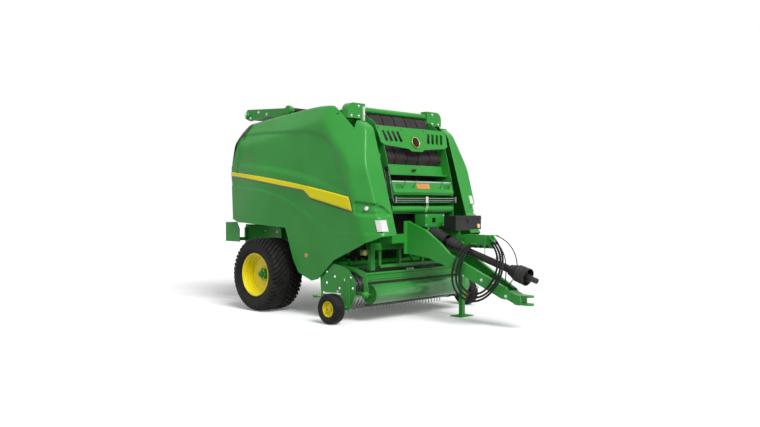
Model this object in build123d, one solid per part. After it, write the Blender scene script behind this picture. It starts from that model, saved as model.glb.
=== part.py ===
from build123d import *
import os
from math import atan2, cos, degrees, pi, radians, sin, tan

os.makedirs("parts", exist_ok=True)

# Round baler with a variable belt chamber, in millimetres. The machine is drawn from its
# axle: X to the machine's left, Y to the rear, Z up from the ground. "Side" values are
# distances out from the middle plane, and each one serves both sides.

# Running clearances
turn_gap = 0.3            # between a turning curved face and what carries it
part_gap = 8              # between panels that move past each other
joint_gap = 6             # beside hinge lugs and plates

# Main wheels
wheel_radius = 505        # over the lugs
wheel_side = 1070         # middle of the tyre
tyre_width = 500
tyre_sides = 32           # flat facets round the carcass, two to each lug
shoulder_side = 205       # where the tread rounds off into the side wall
lug_height = 26
lug_width = 34
lug_count = 16            # on each half of the tread
lug_lean = 38             # degrees from square across
rim_radius = 286
flange_radius = 298
rim_width = 410
rim_wall = 8
tyre_wall = 26
hub_radius = 72
hub_length = 150
spindle_radius = 38
axle_size = 120

# Body
wall_side = 605           # inner face of the chamber wall
wall_thick = 8
gate_side = 622           # inner face of the gate wall
chamber_inner = 590       # half length of the chamber rollers
pivot_y = -480            # tailgate pivot
pivot_z = 2600
pivot_pin = 25

# Side shields
shield_inner = 735
shield_thick = 8
shield_edge = 945         # side of the shield's open top edge
hinge_side = 885
hinge_z = 2700
hinge_pin = 12

# Pickup
pickup_pivot_y = -1160
pickup_pivot_z = 680
pickup_tube = 38
reel_y = -1450
reel_z = 365
reel_shaft = 20
tine_reach = 295
bar_reach = 150
tine_pitch = 62
tine_count = 32
tine_size = 7
tine_bars = 4
disc_side = 1006
band_radius = 240
band_width = 44
band_thick = 4
end_plate_side = 1042
end_plate_thick = 8
guard_roller_y = -1900
guard_roller_z = 355
guard_roller_radius = 124
guard_roller_half = 930
guard_shaft = 14
guard_arm_side = (976, 988)

# Gauge wheels
gauge_radius = 190
gauge_side = 1334
gauge_y = -1635
gauge_width = 160
gauge_rim = 98
gauge_spindle = 12
gauge_sides = 24

# Feed rotor
rotor_y = -890
rotor_z = 560
rotor_reach = 200
rotor_core = 70
rotor_shaft = 30

# Drawbar and hitch
drawbar_plate = 12
drawbar_rear_y = -1980
drawbar_rear_side = 318
drawbar_nose_y = -3440
drawbar_nose_side = 90
hitch_y = -3643
hitch_bore = 16
hitch_plate = 25
hitch_low_z = 290
hitch_gap = 70
hitch_half = 55

# Driveline
input_y = -2160
input_z = 1066
shaft_slope = radians(16.9)
shaft_length = 1660
yoke_bore = 17.5
yoke_length = 95
yoke_radius = 34
guard_tube = 46

# Jack
jack_x = 350
jack_y = -2350
jack_outer = 70
jack_inner = 58
jack_foot = 260
jack_foot_depth = 190
jack_foot_thick = 12

# Rollers and belts
belt_thick = 8
belt_count = 5
belt_width = 208
belt_space = 17
roller_wall = 6
vent_radius = 5
roller_shaft = 22

# Hoses
hose_radius = 13
cable_radius = 6.5
sleeve_wall = 2.5

# The furthest reach of the machine to the front and to the rear sets the middle of its
# length, which is where the origin lies
front_reach = input_y - shaft_length * cos(shaft_slope) - yoke_radius * sin(shaft_slope)
lamp_rear_y = 1060
arm_tip_y = 1090
arm_tip_z = 2850
arm_roller = 62
rear_reach = arm_tip_y + arm_roller + belt_thick + turn_gap
origin_y = -(front_reach + rear_reach) / 2


def block(x, y, z):
    """A box between two values on each axis."""
    size = [max(pair) - min(pair) for pair in (x, y, z)]
    return Pos(min(x), min(y), min(z)) * Box(*size, align=(Align.MIN,) * 3)


def rod(start, end, radius):
    """A round bar from one point to another."""
    start, end = Vector(*start), Vector(*end)
    bar = Cylinder(radius, (end - start).length, align=(Align.CENTER, Align.CENTER, Align.MIN))
    return Plane(origin=start, z_dir=end - start) * bar


def cone(start, end, radius_start, radius_end):
    """A round taper from one point to another."""
    start, end = Vector(*start), Vector(*end)
    taper = Cone(radius_start, radius_end, (end - start).length,
                 align=(Align.CENTER, Align.CENTER, Align.MIN))
    return Plane(origin=start, z_dir=end - start) * taper


def cross_bar(y, z, radius, half, bore=0):
    """A round bar or tube across the machine, from side to side."""
    bar = rod((-half, y, z), (half, y, z), radius)
    return bar - rod((-half - 1, y, z), (half + 1, y, z), bore) if bore else bar


def hollow_roller(y, z, radius, half, shaft, reach):
    """A roller of rolled tube with vented end discs and a stub shaft at each end."""
    body = cross_bar(y, z, radius, half, bore=radius - roller_wall)
    for sign in (-1, 1):
        disc = rod((sign * (half - 22), y, z), (sign * (half - 12), y, z), radius - roller_wall / 2)
        vent = Pos(0, (radius + shaft) / 2, 0)
        body += disc - vent * rod((sign * (half - 23), y, z), (sign * (half - 11), y, z), vent_radius)
        body += rod((sign * (half - 22), y, z), (sign * reach, y, z), shaft)
    return body


def side_plate(outline, x):
    """A plate cut to an outline of (y, z) points, between two values of X."""
    face = Plane.YZ.offset(min(x)) * make_face(Polyline(*outline, close=True))
    return extrude(face, amount=max(x) - min(x))


def plan_plate(outline, z):
    """A plate cut to an outline of (x, y) points, between two heights."""
    face = Plane.XY.offset(min(z)) * make_face(Polyline(*outline, close=True))
    return extrude(face, amount=max(z) - min(z))


def front_plate(outline, y):
    """A plate cut to an outline of (x, z) points, between two values of Y."""
    face = Plane.XZ.offset(-max(y)) * make_face(Polyline(*outline, close=True))
    return extrude(face, amount=max(y) - min(y))


def both_sides(shape):
    """The shape and its mirror image across the middle plane."""
    return [shape, mirror(shape, Plane.YZ)]


def save(name, *solids):
    """Write one node, moved so that the middle of the machine's length is at the origin."""
    parts = []
    for solid in solids:
        moved = Pos(0, origin_y, 0) * solid
        parts += list(moved.solids())
    export_step(parts[0] if len(parts) == 1 else Compound(children=parts), f"parts/{name}.step")


def facet_ring(profile, centre, sides):
    """The same body as ring gives, made of flat facets with a corner straight below."""
    def corner(x, radius, index):
        turn = 2 * pi * index / sides
        return (x, radius * sin(turn), radius * cos(turn))

    facets = []
    for index in range(sides):
        for (x, radius), (next_x, next_radius) in zip(profile, profile[1:] + profile[:1]):
            corners = [corner(x, radius, index), corner(next_x, next_radius, index),
                       corner(next_x, next_radius, index + 1), corner(x, radius, index + 1)]
            facets.append(make_face(Polyline(*corners, close=True)).face())
    return Pos(*centre) * Solid(Shell(facets))


def ring(profile, centre):
    """A body of revolution about a line across the machine, from (x, radius) points."""
    face = make_face(Polyline(*[(x, radius) for x, radius in profile], close=True))
    turned = revolve(Plane.XY * face, axis=Axis.X)
    return Pos(*centre) * turned


# Main wheels: a wide flotation tyre on a deep dished rim, turning on a stub spindle
def tyre(side):
    """A hollow carcass with a herringbone of lugs, trimmed to the tread's own roundness."""
    half = tyre_width / 2
    bead = rim_radius + 2
    crown = wheel_radius - lug_height
    wall = tyre_wall
    seat = rim_width / 2
    centre = (side, 0, wheel_radius)
    outside = [(seat, bead), (seat, flange_radius + 2), (half, bead + 110), (half - 12, crown - 42),
               (shoulder_side, crown - 6)]
    inside = [(shoulder_side - 20, crown - wall), (half - wall, bead + 110), (seat - wall, bead)]
    profile = outside + [(-x, radius) for x, radius in reversed(outside)]
    profile += [(-x, radius) for x, radius in reversed(inside)] + inside
    carcass = facet_ring(profile, centre, tyre_sides)
    lug_root = 14
    lugs = []
    for row, lean in ((-1, lug_lean), (1, -lug_lean)):
        for index in range(lug_count):
            turn = 360 / lug_count * (index + (0.5 if row > 0 else 0))
            lug = Pos(row * half * 0.48, 0, wheel_radius - (lug_height + lug_root) / 2)
            lug = lug * Rot(0, 0, lean) * Box(half * 1.12, lug_width, lug_height + lug_root)
            lugs.append(Pos(*centre) * Rot(turn, 0, 0) * lug)
    tread = carcass.fuse(*lugs)
    envelope = [(half + 1, bead - 50), (half + 1, crown - 45), (shoulder_side - 20, wheel_radius)]
    envelope += [(-x, radius) for x, radius in reversed(envelope)]
    return tread & facet_ring(envelope, centre, tyre_sides)


def rim(side, outward):
    """A rolled rim with a dished disc and a nave, bored for the stub spindle."""
    half = rim_width / 2
    face = outward * 30
    hub_in, hub_out = face - outward * hub_length * 0.75, face + outward * hub_length * 0.35
    barrel = [(-half - 8, flange_radius), (-half, flange_radius), (-half, rim_radius),
              (half, rim_radius), (half, flange_radius), (half + 8, flange_radius),
              (half + 8, rim_radius - rim_wall), (-half - 8, rim_radius - rim_wall)]
    shell = ring(barrel, (side, 0, wheel_radius))
    disc = [(face - 5, hub_radius - 2), (face + 5, hub_radius - 2),
            (face + outward * 45 + 5, rim_radius - rim_wall + 1),
            (face + outward * 45 - 5, rim_radius - rim_wall + 1)]
    dish = ring(disc, (side, 0, wheel_radius))
    nave = rod((side + hub_in, 0, wheel_radius), (side + hub_out, 0, wheel_radius), hub_radius)
    bore_end = side + face + outward * 10
    bore = rod((side + hub_in - outward, 0, wheel_radius), (bore_end, 0, wheel_radius),
               spindle_radius + turn_gap)
    return (shell + dish + nave) - bore


# Chassis: axle beam, rails below the chamber, front cross beam and the pickup's bearings
rail_side = (665, 745)
rail_z = (600, 680)
rail_end_y = 980
front_beam_y = (drawbar_rear_y, drawbar_rear_y + 100)
front_beam_z = (985, 1100)
lift_beam_y = (-1790, -1710)
lift_beam_z = (895, 985)
lamp_arm_y = (-1770, -1735)
rail_brackets = [(-1080, -1000), (-420, -340)]      # Y of the brackets up to the walls
weld_lap = 5              # how far welded pieces run into one another


def chassis_frame():
    """The axle with its stub spindles, and the two rails that run below the chamber."""
    axle_half = wheel_side - tyre_width / 2 - 30
    axle_z = wheel_radius
    half = axle_size / 2
    body = block((-axle_half, axle_half), (-half, half), (axle_z - half, axle_z + half))
    for sign in (-1, 1):
        stub_end = wheel_side + 30
        body += rod((sign * (axle_half - weld_lap), 0, axle_z), (sign * stub_end, 0, axle_z),
                    spindle_radius)
        rail = [sign * value for value in rail_side]
        body += block(rail, (rail_brackets[0][0], rail_end_y), rail_z)
        body += block(rail, (-half, half), (axle_z + half - weld_lap, rail_z[0] + weld_lap))
        body += block(rail, (rail_end_y - 80, rail_end_y), (rail_z[1] - weld_lap, 1000))
        for y in rail_brackets:
            body += block([sign * (wall_side + wall_thick), sign * (rail_side[0] + weld_lap)], y, rail_z)
    return body


def front_frame():
    """The cross beam at the foot of the walls, with the pads that the drawbar is bolted to."""
    body = block((-wall_side, wall_side), front_beam_y, front_beam_z)
    for sign in (-1, 1):
        edge = sign * (drawbar_rear_side + 60)
        inner = sign * (drawbar_rear_side - 80)
        body += block((edge, inner), (front_beam_y[0], front_beam_y[0] + 14), (840, 1265))
    return body


grille_top = (-1765, 2500)
grille_low = (-1860, 2185)
grille_seat = tuple(top + 0.15 * (low - top) for top, low in zip(grille_top, grille_low))

# Chamber walls, as (y, z) points from the front foot upwards and round to the pickup
wall_outline = [(-1988, 985), (-1988, 1520), (-1962, 1800), grille_low, grille_seat, (-1600, 2600),
                (-1480, 2660), (-560, 2672), (-400, 2640), (-330, 2500), (-262, 1900),
                (-232, 1100), (-262, 700), (-320, 640), (-640, 600), (-700, 340),
                (-1060, 340), (-1085, 600), (-1085, 800), (-1250, 985)]


bearing_width = 30
wall_ribs = [   # y, z, length, lean in degrees
    (-1500, 1250, 900, 0),
    (-900, 1000, 1250, 8),
    (-850, 2350, 700, 90),
]


def side_wall():
    """One chamber wall, with its ribs, the tailgate's pivot pin and the pickup's bearing."""
    wall = side_plate(wall_outline, (wall_side, wall_side + wall_thick))
    wall -= rod((wall_side - 1, rotor_y, rotor_z), (wall_side + wall_thick + 1, rotor_y, rotor_z),
                rotor_shaft + turn_gap)
    pin = rod((wall_side, pivot_y, pivot_z), (gate_side + wall_thick + 14, pivot_y, pivot_z), pivot_pin)
    hanger = [(-1085, 620), (-1085, 760), (pickup_pivot_y - 30, 745), (pickup_pivot_y - 75, 680),
              (pickup_pivot_y - 40, 625)]
    bearing = side_plate(hanger, (wall_side, wall_side + bearing_width))
    bearing -= rod((wall_side - 1, pickup_pivot_y, pickup_pivot_z),
                   (wall_side + bearing_width + 1, pickup_pivot_y, pickup_pivot_z), pickup_tube + turn_gap)
    for y, z, length, lean in wall_ribs:
        rib = Pos(wall_side + wall_thick - 1, y, z) * Rot(lean, 0, 0)
        wall += rib * Box(28, 40, length, align=(Align.MIN, Align.CENTER, Align.MIN))
    return wall + pin + bearing


# Front of the machine, from the top bar down to the gearbox
top_bar_y = -1445
top_bar_z = 2722
top_bar_radius = 42
bracket_y = (top_bar_y - 55, top_bar_y + 60)
bracket_z = (top_bar_z - 122, top_bar_z + 78)
bracket_side = (690, 925)
bracket_round = 105
hinge_rows = (-1385, -640)     # Y of the shields' hinge arms
hinge_arm = 20


def top_bar():
    """The round bar between two rounded heads, and the arms that the shields hang on."""
    body = cross_bar(top_bar_y, top_bar_z, top_bar_radius, wall_side + 30)
    for sign in (-1, 1):
        post = block([sign * (wall_side + wall_thick), sign * bracket_side[0]], bracket_y,
                     (2480, bracket_z[1]))
        shell = block([sign * value for value in bracket_side], bracket_y, bracket_z)
        outer_top = (sign * bracket_side[1], bracket_y[0], bracket_z[1])
        corner = shell.edges().filter_by(Axis.Y).sort_by_distance(outer_top)[0]
        body += post + fillet(corner, bracket_round)
        for y in hinge_rows:
            arm = [(sign * (wall_side + wall_thick), 2560), (sign * (wall_side + wall_thick), 2650),
                   (sign * (hinge_side - 15), hinge_z + 22), (sign * hinge_side, hinge_z + 22),
                   (sign * (hinge_side + 20), hinge_z), (sign * hinge_side, hinge_z - 22),
                   (sign * (hinge_side - 60), hinge_z - 40)]
            body += front_plate(arm, (y, y + hinge_arm))
            body += rod((sign * hinge_side, y + hinge_arm / 2, hinge_z),
                        (sign * hinge_side, y + hinge_arm + 55, hinge_z), hinge_pin)
    return body


slot_size = (50, 150)
slot_lean = 18            # degrees, away from the middle


def grille():
    """The slotted panel: sloping, with its lower edge dropped to a point in the middle."""
    half = wall_side + 95
    right_edge = [(half, 0), (half - 40, -235), (half - 110, -265), (150, -300), (110, -330)]
    outline = right_edge + [(-x, y) for x, y in reversed(right_edge)]
    lean = degrees(atan2(grille_top[0] - grille_low[0], grille_top[1] - grille_low[1]))
    panel = extrude(make_face(Polyline(*outline, close=True)), amount=6)
    for sign in (-1, 1):
        for x in (290, 380, 470, 560):
            panel -= Pos(sign * x, -135, 0) * Rot(0, 0, -sign * slot_lean) * Box(*slot_size, 30)
    badge = Pos(0, -165, 0) * Cylinder(62, 14, align=(Align.CENTER, Align.CENTER, Align.MIN))
    return Pos(0, grille_top[0], grille_top[1]) * Rot(90 - lean, 0, 0) * (panel + badge)


# Rollers between the chamber walls: y, z, radius. The belts run round the first four
roller_table = [(-1460, 2606, 62), (-1725, 2100, 55), (-1150, 850, 62), (-540, 2490, 60)]
lower_rollers = [(-560, 730, 85), (-330, 690, 62)]


def rollers(table, half):
    """One roller for each row of a (y, z, radius) table."""
    return [hollow_roller(y, z, radius, half, roller_shaft, half + 15) for y, z, radius in table]


def hull_round(table, gap):
    """The outline of a band drawn tight round circles from a (y, z, radius) table."""
    circles = [Pos(y, z) * Circle(radius + gap) for y, z, radius in table]
    return make_hull([edge for circle in circles for edge in circle.edges()])


def belt_loops(table):
    """Endless belts side by side, each one round the outside of its rollers."""
    band = hull_round(table, turn_gap + belt_thick) - hull_round(table, turn_gap)
    step = belt_width + belt_space
    start = -step * (belt_count - 1) / 2 - belt_width / 2
    return [extrude(Plane.YZ.offset(start + step * index) * band, amount=belt_width)
            for index in range(belt_count)]


def front_pan():
    """The bent sheet across the front, above the net box."""
    shape = [(-1770, 2008), (-1795, 1890), (-1880, 1880), (-1880, 1866), (-1785, 1872), (-1755, 2008)]
    return side_plate(shape, (-wall_side, wall_side))


net_pin = 5
net_hinge = (-1935, 1782)


def net_box():
    """The net roll in its tray, the apron below it and the roller that feeds the net."""
    shape = [(-1945, 1500), (-1760, 1500), (-1740, 1780), (-1870, 1780), (-1885, 1770), (-1755, 1765),
             (-1772, 1512), (-1935, 1512)]
    body = side_plate(shape, (-wall_side, wall_side))
    roll = cross_bar(-1842, 1655, 62, wall_side)
    apron = block((-wall_side, wall_side), (-1925, -1800), (1360, 1372))
    pins = [rod((sign * wall_side, *net_hinge), (sign * (wall_side - 25), *net_hinge), net_pin)
            for sign in (-1, 1)]
    return [body, roll, apron, cross_bar(-1950, 1418, 46, wall_side)] + pins


def net_lid():
    """The light cover in front of the net roll, hinged along its top edge."""
    shape = [(-1930, 1782), (-1956, 1788), (-2005, 1640), (-1992, 1606), (-1960, 1600), (-1960, 1612),
             (-1985, 1616), (-1994, 1640), (-1950, 1774), (-1930, 1770)]
    half = wall_side - part_gap
    lid = side_plate(shape, (-half, half))
    for x in (-475, 475):
        for index in range(5):
            lid -= Pos(x + (index - 2) * 26, -1975, 1715) * Box(12, 60, 60)
    knuckle = cross_bar(*net_hinge, net_pin + 4, half)
    return lid + knuckle - cross_bar(*net_hinge, net_pin + turn_gap, half + 1)


def net_rods():
    """Two thin rods below the lid, with a clip in the middle and a bracket at each end."""
    body = block((-18, 18), (-2042, -2012), (1516, 1572))
    for y, z in ((-2028, 1560), (-2022, 1530)):
        body += cross_bar(y, z, 6, wall_side - 4)
    for sign in (-1, 1):
        body += block([sign * (wall_side - 16), sign * wall_side], (-2045, -1945), (1505, 1580))
    return body


def gearbox():
    """The gear case on the front beam, with the open box above it."""
    body = block((-120, 120), (-2150, front_beam_y[0]), (950, 1190))
    body += rod((0, -2140, input_z), (0, input_y, input_z), 70)
    top = block((-170, 215), (-2160, front_beam_y[0]), (1190, 1355))
    top -= block((-160, 205), (-2150, front_beam_y[0] + 1), (1200, 1345))
    top -= block((-32, 32), (-2161, -2140), (1245, 1305))
    return body + top


shaft_dir = Vector(0, -cos(shaft_slope), -sin(shaft_slope))


def along(distance):
    """The point this far down the driveline from the gearbox."""
    point = Vector(0, input_y, input_z) + shaft_dir * distance
    return (point.X, point.Y, point.Z)


def input_guard():
    """The fixed black cone round the input shaft, open to the front."""
    outer = cone(along(-50), along(245), 122, 100)
    outer -= cone(along(-51), along(246), 116, 94)
    outer -= block((-300, 300), (-2150, -1900), (700, 1400))
    return outer - block((-300, 300), (-2160, -1900), (1190, 1400))


shaft_core = 27
bell_radius = 108
bell_wall = 8
bell_end = shaft_length - 130
bell_wide = bell_end - 120
bell_start = bell_wide - 140


def driveline():
    """The guard tube with its two bells; the shaft turns inside it."""
    tube = rod(along(-20), along(bell_start + 60), guard_tube)
    tube -= block((-100, 100), (input_y, -2000), (900, 1200))
    rear_bell = cone(along(300), along(480), 98, 60)
    front_bell = cone(along(bell_start), along(bell_wide), 68, bell_radius)
    front_bell += rod(along(bell_wide), along(bell_end), bell_radius)
    body = tube + rear_bell + front_bell
    body -= rod(along(bell_wide + 2), along(bell_end + 1), bell_radius - bell_wall)
    body -= rod(along(-30), along(bell_wide + 3), shaft_core + turn_gap)
    return body


def pto_yoke():
    """The inner shaft and its front yoke, open for the tractor's splined stub."""
    shaft = rod(along(20), along(bell_wide + 10), shaft_core)
    fork = rod(along(bell_wide + 9), along(bell_wide + 70), 62)
    neck = rod(along(bell_wide + 65), along(shaft_length - yoke_length + 5), 42)
    sleeve = rod(along(shaft_length - yoke_length), along(shaft_length), yoke_radius)
    bore = rod(along(shaft_length - yoke_length), along(shaft_length + 1), yoke_bore)
    return shaft + fork + neck + sleeve - bore


# Hoses and cables: the points that each route turns at, from the holder, round in front of
# the drawbar and back. The hoses are parked on the holder; the cables end on the drawbar.
hose_routes = {
    "hose_outer": [(55, -2720, 966), (-40, -2724, 954), (-165, -2722, 885), (-265, -2722, 770),
                   (-292, -2700, 612), (-300, -2735, 450), (-300, -2860, 340), (-292, -3015, 300),
                   (-277, -3185, 350), (-255, -3330, 485), (-210, -3395, 650), (-140, -3365, 815),
                   (-64, -3282, 949), (13, -3157, 1026)],
    "hose_middle": [(55, -2752, 970), (-35, -2758, 960), (-150, -2765, 878), (-235, -2765, 765),
                    (-265, -2740, 625), (-275, -2770, 475), (-275, -2880, 375), (-270, -3025, 345),
                    (-257, -3175, 390), (-240, -3300, 510), (-200, -3355, 660), (-130, -3325, 815),
                    (-55, -3235, 940), (20, -3110, 1015)],
    "hose_inner": [(55, -2784, 966), (-30, -2790, 960), (-140, -2805, 885), (-225, -2810, 775),
                   (-250, -2785, 645), (-252, -2795, 515), (-252, -2885, 420), (-247, -3015, 385),
                   (-238, -3150, 430), (-216, -3254, 545), (-176, -3300, 690), (-112, -3268, 832),
                   (-40, -3174, 942), (46, -3060, 1000)],
}
cable_routes = {
    "cable_near": [(84, -3075, 1010), (45, -3175, 985), (-15, -3280, 900), (-62, -3350, 790),
                   (-88, -3370, 670), (-93, -3366, 570), (-92, -3360, 500)],
    "cable_far": [(150, -3075, 1088), (158, -3180, 1045), (162, -3280, 955), (157, -3350, 835),
                  (142, -3375, 705), (118, -3350, 605), (94, -3310, 528)],
}
coupler_reach = {"hose_outer": 150, "hose_middle": 142, "hose_inner": 80}


def sleeve(end, beside, reach, radius):
    """A metal sleeve that carries a hose's last run on into what holds it."""
    end, beside = Vector(*end), Vector(*beside)
    outer = end + (end - beside).normalized() * reach
    return rod((end.X, end.Y, end.Z), (outer.X, outer.Y, outer.Z), radius)


# Drawbar: two plates that run together at the hitch, with folded top edges
drawbar_outline = [(drawbar_rear_y, 840), (drawbar_rear_y, 1262), (-2250, 1150), (-2460, 995),
                   (-2600, 862), (-2820, 752), (-3400, 470), (drawbar_nose_y, 420), (drawbar_nose_y, 345),
                   (-3320, 350), (-2970, 519), (-2580, 698), (-2300, 800)]


def plan_strip(sign, inner_gap, thick):
    """A tall strip that runs along one drawbar plate, seen from above."""
    rear = drawbar_rear_side - inner_gap
    nose = drawbar_nose_side - inner_gap
    outline = [(sign * rear, drawbar_rear_y), (sign * nose, drawbar_nose_y),
               (sign * (nose - thick), drawbar_nose_y), (sign * (rear - thick), drawbar_rear_y)]
    return plan_plate(outline, (300, 1300))


def plate_inner_side(y):
    """How far out the inner face of a drawbar plate lies at this Y."""
    share = (y - drawbar_nose_y) / (drawbar_rear_y - drawbar_nose_y)
    return drawbar_nose_side - drawbar_plate + share * (drawbar_rear_side - drawbar_nose_side)


def drawbar():
    """Two plates with folded tops, joined near the hitch by a sloping plate."""
    full = side_plate(drawbar_outline, (-400, 400))
    shifted = Pos(0, 0, -10) * full
    plates = [full & plan_strip(sign, 0, drawbar_plate) for sign in (-1, 1)]
    fold_end = block((-400, 400), (-3380, drawbar_rear_y), (300, 1300))
    folds = [(full - shifted) & plan_strip(sign, 0, 45) & fold_end for sign in (-1, 1)]
    nose = side_plate([(-2950, 535), (-2950, 600), (-3330, 420), (-3330, 360)], (-200, 200))
    corners = [(drawbar_rear_side, drawbar_rear_y), (drawbar_nose_side, drawbar_nose_y)]
    nose &= plan_plate(corners + [(-x, y) for x, y in reversed(corners)], (300, 1300))
    body = plates[0] + plates[1] + nose
    for fold in folds:
        body += fold
    for route in cable_routes.values():
        body += sleeve(route[-1], route[-2], 30, cable_radius + sleeve_wall)
    return body


def hitch_clevis():
    """The forked hitch at the nose: a gusset with two prongs bored for the pin."""
    nose = drawbar_nose_side - drawbar_plate
    root = plate_inner_side(-3340)
    top_z = hitch_low_z + 2 * hitch_plate + hitch_gap
    body = side_plate([(-3340, 366), (-3340, 440), (-3400, 452), (-3510, top_z), (-3560, top_z),
                       (-3560, hitch_low_z), (-3500, hitch_low_z)], (-root, root))
    body &= plan_plate([(root, -3340), (nose, drawbar_nose_y), (nose, -3560), (-nose, -3560),
                        (-nose, drawbar_nose_y), (-root, -3340)], (hitch_low_z, 500))
    for low in (hitch_low_z, hitch_low_z + hitch_plate + hitch_gap):
        prong = block((-hitch_half, hitch_half), (hitch_y, -3540), (low, low + hitch_plate))
        prong += rod((0, hitch_y, low), (0, hitch_y, low + hitch_plate), hitch_half)
        body += prong
    bore = rod((0, hitch_y, hitch_low_z - 1), (0, hitch_y, top_z + 1), hitch_bore)
    return body - bore


def jack_housing():
    """The square tube beside the drawbar that the jack's leg slides in."""
    half = jack_outer / 2
    inner = jack_inner / 2 + turn_gap
    body = block((jack_x - half, jack_x + half), (jack_y - half, jack_y + half), (340, 900))
    body -= block((jack_x - inner, jack_x + inner), (jack_y - inner, jack_y + inner), (339, 890))
    edges = (jack_y - 30, jack_y + 30)
    outline = [(plate_inner_side(y) + drawbar_plate, y) for y in edges]
    outline += [(jack_x - half, y) for y in reversed(edges)]
    return body + plan_plate(outline, (820, 880))


def jack_leg():
    """The leg with its square foot."""
    half = jack_inner / 2
    leg = block((jack_x - half, jack_x + half), (jack_y - half, jack_y + half),
                (jack_foot_thick - 1, 560))
    foot = block((jack_x - jack_foot / 2, jack_x + jack_foot / 2),
                 (jack_y - jack_foot_depth / 2, jack_y + jack_foot_depth / 2), (0, jack_foot_thick))
    return leg + foot


# Tool box and hose holder, on the machine's left of the drawbar
box_x = (70, 605)
box_y = (-2470, -2275)
box_z = (1150, 1300)
box_wall = 8
lid_height = 32
holder_x = (80, 190)
holder_y = (-3060, -2600)
holder_z = (935, 1100)
hook_y = -2990
hook_low_z = 815
hook_top_z = 1090
hook_rod = 5


def hose_holder():
    """An angle over the drawbar, its foot and the tool box's shelf, the sleeves and the hook."""
    body = block(holder_x, holder_y, (holder_z[1] - 8, holder_z[1]))
    body += block((holder_x[0], holder_x[0] + 8), holder_y, holder_z)
    body += block((holder_x[1] - 42, holder_x[1]), (-2640, -2290), (1010, holder_z[1] - 8))
    for y in (-2440, -2320):
        leg = [(holder_x[1] - 8, y), (plate_inner_side(y), y),
               (plate_inner_side(y + 40), y + 40), (holder_x[1] - 8, y + 40)]
        body += plan_plate(leg, (945, 985))
    body += block((holder_x[1] - 8, holder_x[1] + 8), (-2440, -2280), (945, box_z[0]))
    body += block((holder_x[1] - 60, 420), (-2440, -2300), (box_z[0] - 8, box_z[0]))
    for name, route in hose_routes.items():
        body += sleeve(route[0], route[1], 32, hose_radius + sleeve_wall)
        body += sleeve(route[-1], route[-2], coupler_reach[name], hose_radius + sleeve_wall)
    for route in cable_routes.values():
        body += sleeve(route[0], route[1], 26, cable_radius + sleeve_wall)
    hook = rod((0, hook_y, hook_low_z), (0, hook_y, hook_top_z), hook_rod)
    hook += block((-hook_rod, holder_x[0] + 4), (hook_y - hook_rod, hook_y + hook_rod),
                  (hook_top_z - 6, hook_top_z + 4))
    hook -= rod(along(200), along(shaft_length), guard_tube + turn_gap)
    return body + hook


def toolbox():
    """The open box."""
    inside = [(low + box_wall, high - box_wall) for low, high in (box_x, box_y)]
    return block(box_x, box_y, box_z) - block(*inside, (box_z[0] + box_wall, box_z[1] + 1))


def toolbox_lid():
    """Its flat lid, hinged along the rear edge."""
    return block(box_x, box_y, (box_z[1] + turn_gap, box_z[1] + lid_height))


# Pickup: tined reel between curved bands, end plates, crop guard and gauge wheels
def pickup_frame():
    """The pickup's pivot tube, cross plates, end plates and the gauge wheels' spindles."""
    body = cross_bar(pickup_pivot_y, pickup_pivot_z, pickup_tube, end_plate_side + 1)
    body += block((-end_plate_side, end_plate_side), (pickup_pivot_y - 12, pickup_pivot_y - 4),
                  (reel_z + band_radius - 6, pickup_pivot_z - 20))
    for sign in (-1, 1):
        notch = [sign * (wall_side - joint_gap), sign * (wall_side + bearing_width + joint_gap)]
        body -= block(notch, (pickup_pivot_y - 80, pickup_pivot_y - pickup_tube + 34),
                      (560, pickup_pivot_z - 36))
    body += block((-end_plate_side, end_plate_side), (-1222, -1182),
                  (reel_z - band_radius - 20, reel_z - band_radius + 20))
    disc = Pos(reel_y - 30, reel_z + 45) * Circle(290)
    pivot = Pos(pickup_pivot_y, pickup_pivot_z) * Circle(70)
    heel = Pos(-1190, 200) * Circle(60)
    outline = make_hull([edge for part in (disc, pivot, heel) for edge in part.edges()])
    for sign in (-1, 1):
        start = end_plate_side if sign > 0 else -end_plate_side - end_plate_thick
        plate = extrude(Plane.YZ.offset(start) * outline, amount=end_plate_thick)
        plate -= rod((start - 1, reel_y, reel_z), (start + end_plate_thick + 1, reel_y, reel_z),
                     reel_shaft + turn_gap)
        body += plate
        outer = sign * (end_plate_side + end_plate_thick)
        body += block((outer - sign, outer + sign * 14), (gauge_y - 40, gauge_y + 40),
                      (gauge_radius - 45, 560))
        spindle_end = sign * (gauge_side + gauge_width / 2 - 8)
        body += rod((outer, gauge_y, gauge_radius), (spindle_end, gauge_y, gauge_radius), gauge_spindle)
    return body


def pickup_bands():
    """Sheet bands that bend round the front of the reel; the tines run in the slots."""
    outer_radius = band_radius + band_thick
    rear = pickup_pivot_y - 12
    ring_shape = Pos(reel_y, reel_z) * (Circle(outer_radius) - Circle(band_radius))
    front_half = Pos(reel_y - outer_radius, reel_z) * Rectangle(2 * outer_radius, 3 * outer_radius)
    arc = ring_shape & front_half
    top = Pos((reel_y + rear) / 2, reel_z + band_radius + band_thick / 2)
    low_rear = -1222
    low = Pos((reel_y + low_rear) / 2, reel_z - band_radius - band_thick / 2)
    shape = arc + top * Rectangle(rear - reel_y, band_thick) + low * Rectangle(low_rear - reel_y, band_thick)
    starts = [(index - tine_count / 2) * tine_pitch - band_width / 2 for index in range(tine_count + 1)]
    return [extrude(Plane.YZ.offset(start) * shape, amount=band_width) for start in starts]


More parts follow.
